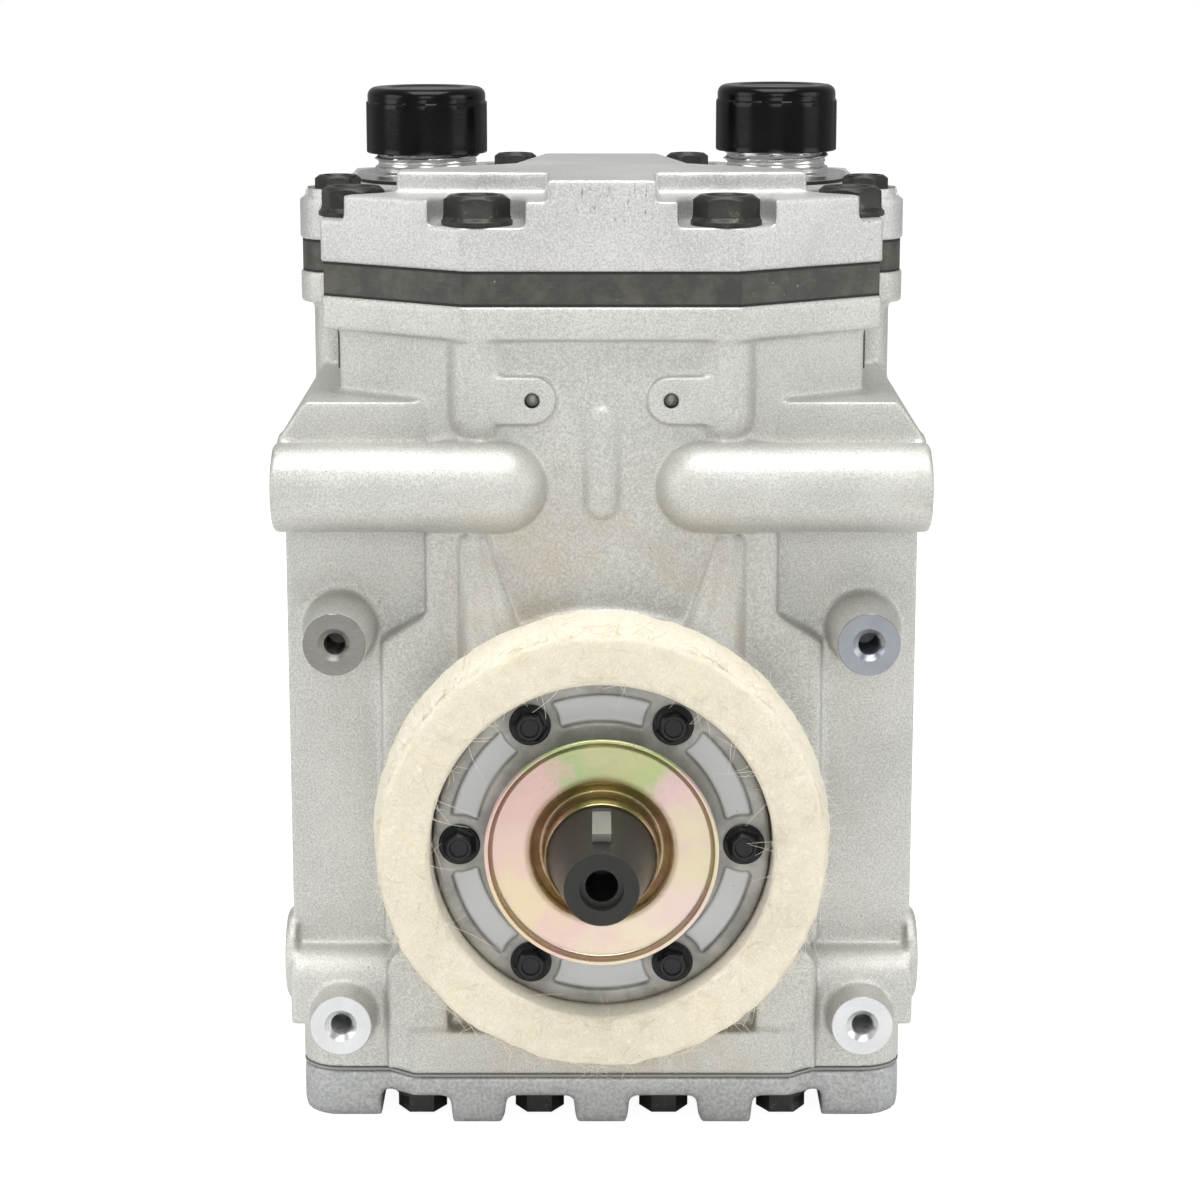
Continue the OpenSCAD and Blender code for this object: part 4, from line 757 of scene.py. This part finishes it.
@dataclass
class Crankcase:
    """Cast body with its four clutch bosses."""

    crank_z: float = 67.5
    deck_z: float = 183.0
    voxel: float = 0.7
    boss_half: float = 57.8
    boss_rise: float = 43.3
    boss_y: float = -84.0
    boss_r: float = 6.8
    hole_r: float = 2.6
    tab_half: float = 15.0
    tab_rise: float = 95.0
    tab_front_y: float = -74.4
    tab_hole_r: float = 1.5
    front_y: float = -72.0
    rib_top: tuple[float, float] = (28.0, 63.0)
    rib_low: tuple[float, float] = (23.8, 38.0)
    rib_r: tuple[float, float] = (3.6, 7.8)
    rib_rise: float = 0.62
    looks: tuple[Look, ...] = (Look.BOSS_SCUFFED, Look.BOSS_DULL, Look.BOSS, Look.BOSS)

    def rounds(self, p: np.ndarray) -> np.ndarray:
        """Smoothing of each point: little on the machined deck, nose and foot, more on the cast skin."""
        crisp = (p[:, 2] > self.deck_z - 1.2) | (p[:, 1] < -79.5) | (p[:, 2] < 13.0)
        tabs = (np.abs(p[:, 0]) < 22.0) & (p[:, 2] > 156.0) & (p[:, 2] < 169.0)
        tips = (np.abs(np.abs(p[:, 0]) - 29.5) < 4.5) & (np.abs(p[:, 2] - 133.0) < 4.5) & (p[:, 1] < -60.0)
        return np.where(crisp | tabs, 1, np.where(tips, 16, 4))

    def sharpen(self, made: bpy.types.Object) -> None:
        """Brings back what the smoothing took: the round backs of the two drop ribs, and the tabs' small holes.

        A point of the front wall within a rib's half width rises to the height of a half ellipse over that
        width. A point inside a tab's hole moves straight out to the hole's radius.
        """
        p = points_of(made.data)
        flat = p[:, [0, 2]]
        wall = (p[:, 1] < self.front_y + 1.2) & (p[:, 1] > self.front_y - 6.5)
        deep = (p[:, 1] > self.tab_front_y + 0.12) & (p[:, 1] < self.front_y + 1.0)
        for side in (-1.0, 1.0):
            top = np.array([side * self.rib_top[0], self.crank_z + self.rib_top[1]])
            low = np.array([side * self.rib_low[0], self.crank_z + self.rib_low[1]])
            way = low - top
            s = np.clip((flat - top) @ way / (way @ way), 0.0, 1.0)
            d = np.linalg.norm(flat - top - s[:, None] * way, axis=1)
            half = self.rib_r[0] + (self.rib_r[1] - self.rib_r[0]) * s
            rise = self.rib_rise * half * np.sqrt(np.clip(1.0 - (d / half) ** 2, 0.0, 1.0))
            p[:, 1] = np.where(wall & (d < half), np.minimum(p[:, 1], self.front_y - rise), p[:, 1])
            centre = np.array([side * self.tab_half, self.crank_z + self.tab_rise])
            away = flat - centre
            far = np.linalg.norm(away, axis=1)
            inside = deep & (far < self.tab_hole_r) & (far > 1e-4)
            p[inside, 0] += away[inside, 0] * (self.tab_hole_r / far[inside] - 1.0)
            p[inside, 2] += away[inside, 1] * (self.tab_hole_r / far[inside] - 1.0)
        made.data.vertices.foreach_set("co", (p * MM).ravel())
        made.data.update()

    def boss_face(self, index: int) -> None:
        """Machined ring on a boss with a countersunk, threaded hole.

        The hole's wall is a helix: its radius falls from the hole's by a triangle wave of height and turn.
        """
        side = -1.0 if index % 2 == 0 else 1.0
        rise = self.boss_rise if index < 2 else -self.boss_rise
        crest = self.hole_r - 0.32
        rows = [(self.boss_r, -0.5), (self.boss_r, -0.12), (self.boss_r - 0.12, 0.06), (self.hole_r + 1.0, 0.06),
                (self.hole_r - 0.05, -0.9)]
        rows += [(crest, h) for h in np.arange(-1.0, -13.0, -0.14)] + [(0.0, -13.0)]

        def thread(r: np.ndarray, h: np.ndarray, t: np.ndarray) -> np.ndarray:
            """Radius of the hole's wall with its thread."""
            wave = np.abs(((h / 1.06 - t / (2 * math.pi)) % 1.0) - 0.5) * 2.0
            inside = (h <= -1.0) & (h > -13.0) & (r > 0.1)
            return np.where(inside, crest + 0.30 * wave, r)

        points, faces = turned(rows, 48, thread)
        made = piece(f"boss_face_{index + 1}", to_front(points, (side * self.boss_half, self.boss_y,
                                                                self.crank_z + rise)), faces, 35.0)
        dress(made, self.looks[index].material(), "root")

    def tab_hole_shade(self) -> None:
        """Near-black linings in the two small drilled holes in the tabs under the deck: painted shade where the
        holes look dark.
        """
        r = self.tab_hole_r
        rows = [(r + 0.05, -0.05), (r - 0.08, -0.12), (r - 0.1, -3.3), (0.0, -3.35)]
        parts = []
        for side in (-1.0, 1.0):
            points, faces = turned(rows, 32)
            centre = (side * self.tab_half, self.tab_front_y, self.crank_z + self.tab_rise)
            parts.append((to_front(points, centre), faces))
        made = piece("tab_hole_shade", *joined(parts))
        # The linings carry painted shade, not the casting's own colour.
        dress(made, Look.HOLE_SHADE.material(), "root")

    def build(self) -> None:
        """Makes the casting, the boss faces and the painted shade in the drilled holes of the tabs."""
        made = cast_copy("crankcase", "crankcase_cast", self.voxel, self.rounds)
        self.sharpen(made)
        dress(made, Look.CASE.material(), "root")
        for index in range(4):
            self.boss_face(index)
        self.tab_hole_shade()


@dataclass
class Head:
    """Cast head with its bolts, and the fittings and caps of its ports."""

    head_z: float = 190.4
    seat_h: float = 9.5
    voxel: float = 0.55
    large: tuple[tuple[float, float, float], ...] = (
        (-26.8, -68.0, 90.0), (26.8, -68.0, 84.0), (-55.0, -46.0, 20.0), (55.0, -46.0, 70.0))
    small: tuple[tuple[float, float, float], ...] = (
        (-62.0, -1.0, 95.0), (62.0, -1.0, 80.0), (-44.0, 50.5, 10.0), (44.0, 50.5, 40.0), (-22.0, 68.0, 88.0),
        (22.0, 68.0, 95.0))
    port: tuple[float, float] = (41.9, 17.0)
    fitting_z: float = 203.2
    fitting_top: float = 223.2
    cap_z: float = 209.4
    cap_h: float = 15.5
    cap_lift: float = 0.3
    reach: float = 34.0
    side_reach: float = 18.0
    side_from: float = 60.0
    cap_r: float = 14.45

    def rounds(self, p: np.ndarray) -> np.ndarray:
        """Smoothing of each point: little on the machined underside, more on the cast skin."""
        return np.where(p[:, 2] < self.head_z + 1.0, 1, 3)

    def bolts(self) -> None:
        """Heads of the ten head bolts, with their shanks down to the case."""
        seat = self.head_z + self.seat_h
        for name, places, af, flange, tall, shank in (
                ("head_bolts_large", self.large, 12.7, 7.7, 6.35, 3.9),
                ("head_bolts_small", self.small, 9.5, 6.0, 5.2, 3.1)):
            parts = []
            for x, y, turn in places:
                reach = self.side_reach if abs(x) > self.side_from else self.reach
                for points, faces in (hex_bolt(af, flange, tall, turn),
                                      turned([(shank, 0.0), (shank, -reach), (0.0, -reach - 0.4)], 24)):
                    parts.append((points + np.array([x, y, seat]), faces))
            made = piece(f"{name}_forged", *joined(parts), 32.0)
            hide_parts(name)
            dress(made, Look.BOLT.material(), "root")

    def fitting(self, side: float, name: str) -> None:
        """Port neck with its flange, collar and relief.

        Its thread is a true helix: the radius is a triangle wave of height and turn.
        """
        x, y = side * self.port[0], self.port[1]
        z0, z1 = self.fitting_z, self.fitting_top
        low, high = z0 + 3.5, z1 - 0.8
        rows = [(10.0, 197.4), (10.0, z0), (16.6, z0), (16.8, z0 + 0.2), (16.8, z0 + 1.1), (16.6, z0 + 1.3),
                (12.75, z0 + 1.3), (12.45, z0 + 1.6), (12.45, z0 + 2.5), (12.25, z0 + 2.7), (11.7, z0 + 2.9),
                (11.7, z0 + 3.3)]
        rows += [(12.7, h) for h in np.arange(low, high, 0.2)]
        rows += [(11.6, z1), (9.0, z1), (8.0, z1 - 0.9), (8.0, 197.4), (10.0, 197.4)]

        def thread(r: np.ndarray, h: np.ndarray, t: np.ndarray) -> np.ndarray:
            """Radius of the neck with its thread."""
            wave = np.abs(((h / 1.814 - t / (2 * math.pi)) % 1.0) - 0.5) * 2.0
            fade = np.clip(np.minimum(h - low, high - h) / 0.9, 0.0, 1.0)
            return np.where(np.isclose(r, 12.7), 11.6 + 1.08 * wave * fade, r)

        points, faces = turned(rows, 96, thread)
        made = piece(f"{name}_turned", points + np.array([x, y, 0.0]), faces, 30.0)
        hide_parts(name)
        dress(made, Look.NECK.material(), "root")

    def cap(self, side: float, name: str, body: str) -> None:
        """Moulded cap: a cup with fine flutes, a bead broken into nubs and a rounded crown."""
        x, y = side * self.port[0], self.port[1]
        r, h = self.cap_r, self.cap_h
        rows = [(13.0, 0.25), (13.25, 0.0), (r - 0.2, 0.0), (r, 0.25)]
        rows += [(r, z) for z in np.linspace(0.6, h - 4.0, 14)]
        rows += [(r, h - 3.6), (r - 0.35, h - 3.3), (r - 0.35, h - 2.2)]
        rows += arc((r - 2.35, h - 2.0), 2.0, 0.0, 90.0, 8)
        rows += [(9.0, h - 0.05), (8.6, h - 0.3), (4.0, h - 0.3), (0.0, h - 0.3)]
        inner = [(0.0, h - 2.0), (12.6, h - 2.0), (13.0, h - 2.4), (13.0, 0.25)]

        def flutes(q: np.ndarray, z: np.ndarray, t: np.ndarray) -> np.ndarray:
            """Radius of the skirt with its flutes and the nubs of its bead."""
            band = (q > r - 0.05) & (z > 0.4) & (z < h - 3.9)
            nub = (q > r - 0.05) & (z > h - 3.9)
            ripple = 0.10 * (np.cos(t * 60.0) ** 8)
            bead = 0.16 * (np.sin(t * 12.0) > 0.4)
            return np.where(band, q - ripple, np.where(nub, q - 0.16 + bead, q))

        points, faces = turned(rows + inner, 240, flutes)
        place = np.array([x, y, self.cap_z + side * self.cap_lift])
        made = piece(f"{name}_moulded", points + place, faces, 38.0)
        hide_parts(name)
        dress(made, Look.CAP.material(), body)

    def build(self) -> None:
        """Makes the head, its bolts, and both ports."""
        made = cast_copy("cylinder_head", "cylinder_head_cast", self.voxel, self.rounds)
        dress(made, Look.HEAD.material(), "root")
        self.bolts()
        for side, word in ((-1.0, "suction"), (1.0, "discharge")):
            self.fitting(side, f"{word}_fitting")
            self.cap(side, f"{word}_cap", f"{word}_cap_set")


@dataclass
class FrontEnd:
    """Felt ring, seal plate with its screws, oil slinger and shaft face."""

    crank_z: float = 67.5
    nose_y: float = -80.7
    felt_t: float = 15.3
    felt_in: float = 37.1
    felt_rear: float = 50.1
    felt_front: float = 48.5
    plate_y: float = -88.5
    screw_ring: float = 30.9
    screw_count: int = 6
    shaft_end_y: float = -121.8
    fibres: int = 1100
    fibre_r: float = 0.07
    fibre_len: tuple[float, float] = (1.8, 9.0)

    def rounds(self, p: np.ndarray) -> np.ndarray:
        """Smoothing of the seal plate: even all over."""
        return np.full(len(p), 2)

    def felt(self) -> None:
        """Felt ring: a turned section with rounded lips whose wall rises and sinks with soft waves."""
        t = self.felt_t
        rows = [(self.felt_in, 0.0), (self.felt_rear, 0.0)]
        slope = self.felt_front - self.felt_rear
        rows += [(self.felt_rear + slope * a, t * a) for a in np.linspace(0.04, 0.88, 14)]
        rows += arc((self.felt_front - 1.5, t - 1.5), 1.5, 10.0, 90.0, 6)
        rows += [(self.felt_front - 1.5 - (self.felt_front - 1.5 - self.felt_in - 1.0) * a, t) for a in
                 np.linspace(0.08, 0.95, 12)]
        rows += arc((self.felt_in + 0.9, t - 0.9), 0.9, 90.0, 180.0, 5)
        rows += [(self.felt_in, t * a) for a in np.linspace(0.9, 0.05, 10)]
        points, faces = turned(closed(rows), 320)
        rng = np.random.default_rng(SEED)
        wave = np.zeros(len(points))
        for size, depth in ((16.0, 0.16), (6.0, 0.10), (2.2, 0.07), (1.2, 0.05)):
            for _ in range(5):
                k = rng.normal(size=3)
                k *= 2 * math.pi / size / np.linalg.norm(k)
                wave += depth / 2.2 * np.sin(points @ k + rng.uniform(0, 6.28))
        out = points[:, :2] / np.linalg.norm(points[:, :2], axis=1)[:, None]
        inner = np.linalg.norm(points[:, :2], axis=1) < self.felt_in + 0.6
        shift = np.where(inner, 0.0, wave - 0.15)
        points[:, :2] += out * shift[:, None]
        points[:, 2] += np.where(points[:, 2] > 0.5, wave * 0.6 - 0.1, 0.0)
        made = piece("felt_ring_pressed", to_front(points, (0.0, self.nose_y, self.crank_z)), faces, 60.0)
        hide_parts("felt_ring")
        dress(made, Look.FELT.material(), "root")
        self.stray_fibres(rng)

    def stray_fibres(self, rng: np.random.Generator) -> None:
        """Loose wool fibres: thin three sided tubes along short bent paths that leave the ring's skin."""
        n, steps = self.fibres, 9
        turn = rng.uniform(0, 2 * math.pi, n)
        where = rng.uniform(0, 1, n)
        face = where < 0.45
        edge = (where >= 0.45) & (where < 0.75)
        depth = np.where(face, self.felt_t - 0.1, np.where(edge, self.felt_t - 0.8, rng.uniform(1.0, 14.0, n)))
        span = self.felt_front - self.felt_in - 1.5
        r = np.where(face, self.felt_in + 0.5 + span * rng.beta(0.45, 0.8, n),
                     self.felt_rear + (self.felt_front - self.felt_rear) * depth / self.felt_t - 0.4)
        start = np.stack([r * np.cos(turn), r * np.sin(turn), depth], axis=-1)
        radial = np.stack([np.cos(turn), np.sin(turn), np.zeros(n)], axis=-1)
        along = np.stack([-np.sin(turn), np.cos(turn), np.zeros(n)], axis=-1)
        up = np.array([[0.0, 0.0, 1.0]])
        lift = np.where(face[:, None], up, radial + 0.3 * up)
        length = rng.uniform(*self.fibre_len, n)[:, None]
        lean = along * rng.normal(0, 1.0, (n, 1)) + radial * rng.normal(-0.25, 1.0, (n, 1)) * face[:, None]
        bend = rng.normal(0, 0.5, (n, 3))
        s = np.linspace(0, 1, steps)[None, :, None]
        path = start[:, None, :] + length[:, None] * (
            s * (0.28 * lift + 0.5 * lean)[:, None, :] + s * s * 0.5 * bend[:, None, :])
        path[:, :, 2] = np.clip(path[:, :, 2], 0.2, self.felt_t + 0.9)
        tangent = np.gradient(path, axis=1)
        tangent /= np.linalg.norm(tangent, axis=2, keepdims=True) + 1e-9
        u = np.cross(tangent, np.array([0.31, 0.52, 0.79]))
        u /= np.linalg.norm(u, axis=2, keepdims=True) + 1e-9
        v = np.cross(tangent, u)
        width = self.fibre_r * (1.0 - 0.5 * s)
        ring = [path + width * (math.cos(a) * u + math.sin(a) * v) for a in (0.0, 2.094, 4.189)]
        points = np.stack(ring, axis=2).reshape(n, steps * 3, 3)
        quads = grid_faces(steps, 3)
        every = (quads[None, :, :] + (np.arange(n) * steps * 3)[:, None, None]).reshape(-1, 4)
        points = to_front(points.reshape(-1, 3), (0.0, self.nose_y, self.crank_z))
        made = piece("felt_fibres", points, every, 180.0)
        dress(made, Look.FELT.material(), "root")

    def screws(self) -> None:
        """Six flange screws of the seal plate with their shanks."""
        parts = []
        for index in range(self.screw_count):
            a = 2 * math.pi * index / self.screw_count
            centre = (self.screw_ring * math.cos(a), self.plate_y, self.crank_z + self.screw_ring * math.sin(a))
            for points, faces in (hex_bolt(5.7, 4.5, 3.7, 12.0 + 37.0 * index),
                                  turned([(2.4, 0.0), (2.4, -16.5), (0.0, -16.8)], 20)):
                parts.append((to_front(points, centre), faces))
        made = piece("seal_plate_screws", *joined(parts), 32.0)
        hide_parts("seal_plate_bolts")
        dress(made, Look.SCREW.material(), "root")

    def slinger(self) -> None:
        """Oil slinger: a pressed dish turned from a section with rolled rim, trough and short hub."""
        face, rim = 13.5, 15.1
        rows = [(11.42, 18.7), (12.0, 18.9), (12.32, 18.6), (12.32, 12.6)]
        rows += arc((13.3, 12.4), 0.9, 190.0, 300.0, 6)
        rows += [(14.6, 12.5)] + arc((15.8, 12.9), 0.9, 150.0, 90.0, 5)
        rows += [(18.0, face + 0.2), (20.5, face + 0.12), (22.6, face + 0.1)]
        rows += arc((23.0, rim - 0.3), 1.3, 285.0, 330.0, 4)
        rows += [(24.5, rim - 0.1), (25.0, rim), (25.3, rim - 0.2), (25.2, rim - 0.9)]
        rows += [(24.4, face - 0.2), (23.2, face - 0.8), (18.0, face - 0.7), (15.6, face - 0.8), (14.8, 11.3),
                 (11.42, 11.2)]
        points, faces = turned(closed(rows), 128)
        made = piece("slinger_pressed", to_front(points, (0.0, self.nose_y, self.crank_z)), faces, 50.0)
        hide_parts("slinger")
        dress(made, Look.ZINC.material(), "crank")

    def shaft_face(self) -> None:
        """Ring on the shaft's end with faint turned circles and a countersunk hole."""
        rows = [(7.75, -0.4), (7.88, -0.12), (7.7, 0.03)]
        rows += [(r, 0.03 + 0.02 * (k % 2)) for k, r in enumerate(np.linspace(7.5, 5.0, 12))]
        rows += [(4.72, 0.03), (4.66, -0.06), (4.66, -0.3)]
        points, faces = turned(rows, 96)
        made = piece("shaft_end_ring", to_front(points, (0.0, self.shaft_end_y, self.crank_z)), faces, 25.0)
        dress(made, Look.SHAFT_FACE.material(), "crank")

    def build(self) -> None:
        """Makes the front end from the plate outwards."""
        made = cast_copy("seal_plate", "seal_plate_cast", 0.42, self.rounds, 120_000)
        dress(made, Look.SEAL_PLATE.material(), "root")
        self.felt()
        self.screws()
        self.slinger()
        self.shaft_face()


@dataclass
class BaseAndCover:
    """Base plate and rear cover castings."""

    def build(self) -> None:
        """Makes both castings."""
        made = cast_copy("base_plate", "base_plate_cast", 0.9, lambda p: np.full(len(p), 4), 120_000)
        dress(made, Look.BASE.material(), "root")
        made = cast_copy("rear_cover", "rear_cover_cast", 0.8, lambda p: np.full(len(p), 3), 90_000)
        dress(made, Look.COVER.material(), "root")


@dataclass
class Studio:
    """Camera, lamps, floor and white surroundings."""

    eye: tuple[float, float, float] = (-0.00035, -0.7562, 0.2661)
    pitch_deg: float = 12.2
    roll_deg: float = 0.0
    lens: float = 95.85
    lamps: tuple[tuple[str, tuple[float, float, float], float, float], ...] = (
        ("top", (0.0, -0.25, 1.15), 0.8, 11.0),
        ("left", (-1.15, -0.45, 0.50), 0.7, 4.2),
        ("right", (1.15, -0.45, 0.50), 0.7, 4.0),
        ("front", (0.0, -1.5, 0.60), 0.6, 3.8),
    )

    def camera(self) -> None:
        """Camera at the photograph's place: an upright frame looking down a little."""
        data = bpy.data.cameras.new("camera")
        data.sensor_width = 36.0
        data.lens = self.lens
        data.clip_start = 0.01
        made = bpy.data.objects.new("camera", data)
        made.location = self.eye
        made.rotation_euler = (math.radians(90.0 - self.pitch_deg), math.radians(self.roll_deg), 0.0)
        bpy.context.scene.collection.objects.link(made)
        bpy.context.scene.camera = made

    def light(self) -> None:
        """Large soft lamps that face the middle of the object."""
        for name, place, size, power in self.lamps:
            data = bpy.data.lights.new(name, "AREA")
            data.size = size
            data.energy = power
            made = bpy.data.objects.new(name, data)
            made.location = place
            made.rotation_euler = (Vector((0.0, 0.0, 0.1)) - Vector(place)).to_track_quat("-Z", "Y").to_euler()
            bpy.context.scene.collection.objects.link(made)

    def surroundings(self) -> None:
        """World that is white to the camera and to reflections and plainer as a light."""
        world = bpy.data.worlds.new("studio")
        bpy.context.scene.world = world
        world.use_nodes = True
        tree = world.node_tree
        tree.nodes.clear()
        out = tree.nodes.new("ShaderNodeOutputWorld")
        mix = tree.nodes.new("ShaderNodeMixShader")
        plain = tree.nodes.new("ShaderNodeBackground")
        white = tree.nodes.new("ShaderNodeBackground")
        path = tree.nodes.new("ShaderNodeLightPath")
        plain.inputs[0].default_value = (1.0, 1.0, 1.0, 1.0)
        plain.inputs[1].default_value = 0.36
        white.inputs[1].default_value = 1.0
        white.inputs[0].default_value = (1.0, 1.0, 1.0, 1.0)
        tree.links.new(path.outputs["Is Camera Ray"], mix.inputs[0])
        tree.links.new(plain.outputs[0], mix.inputs[1])
        tree.links.new(white.outputs[0], mix.inputs[2])
        tree.links.new(mix.outputs[0], out.inputs[0])

    def floor(self) -> None:
        """Pale floor under the object that runs back out of sight."""
        half = 3.0
        mesh = bpy.data.meshes.new("floor")
        mesh.from_pydata([(-half, -half, 0.0), (half, -half, 0.0), (half, half, 0.0), (-half, half, 0.0)], [],
                         [(0, 1, 2, 3)])
        made = bpy.data.objects.new("floor", mesh)
        bpy.context.scene.collection.objects.link(made)
        s = Shader("floor_white")
        material = s.finish(Base_Color=(0.90, 0.90, 0.90), Roughness=0.9)
        glow = s.tree.nodes.new("ShaderNodeEmission")
        glow.inputs["Strength"].default_value = 0.94
        both = s.tree.nodes.new("ShaderNodeAddShader")
        shown = s.tree.nodes.new("ShaderNodeMixShader")
        path = s.tree.nodes.new("ShaderNodeLightPath")
        faint = s.tree.nodes.new("ShaderNodeBsdfDiffuse")
        faint.inputs["Color"].default_value = (0.30, 0.30, 0.30, 1.0)
        s.tree.links.new(glow.outputs[0], both.inputs[0])
        s.tree.links.new(faint.outputs[0], both.inputs[1])
        s.tree.links.new(path.outputs["Is Camera Ray"], shown.inputs[0])
        s.tree.links.new(s.bsdf.outputs[0], shown.inputs[1])
        s.tree.links.new(both.outputs[0], shown.inputs[2])
        out = next(n for n in s.tree.nodes if n.type == "OUTPUT_MATERIAL")
        s.tree.links.new(shown.outputs[0], out.inputs[0])
        mesh.materials.append(material)

    def build(self) -> None:
        """Sets the view first, then the light."""
        scene = bpy.context.scene
        scene.view_settings.view_transform = "Standard"
        self.camera()
        self.light()
        self.surroundings()
        self.floor()


def dress_nodes() -> None:
    """Gives each CAD node that stays its finish."""
    for look, names in CAD_LOOKS.items():
        for name in names:
            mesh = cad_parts[name].data
            mesh.materials.clear()
            mesh.materials.append(look.material())


def main() -> None:
    """Builds the scene in order."""
    logging.basicConfig(level=logging.INFO, format="%(message)s")
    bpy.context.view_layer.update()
    Studio().build()
    dress_nodes()
    for part in (Crankcase(), Head(), FrontEnd(), BaseAndCover()):
        part.build()
        LOG.info("built %s", type(part).__name__)


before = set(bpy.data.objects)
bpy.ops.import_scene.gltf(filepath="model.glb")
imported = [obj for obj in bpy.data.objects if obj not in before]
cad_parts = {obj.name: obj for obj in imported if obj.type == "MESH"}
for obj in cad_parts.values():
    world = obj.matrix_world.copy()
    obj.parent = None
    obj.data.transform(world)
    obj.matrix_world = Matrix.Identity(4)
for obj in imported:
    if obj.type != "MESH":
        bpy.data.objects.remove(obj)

if __name__ == "__main__":
    main()
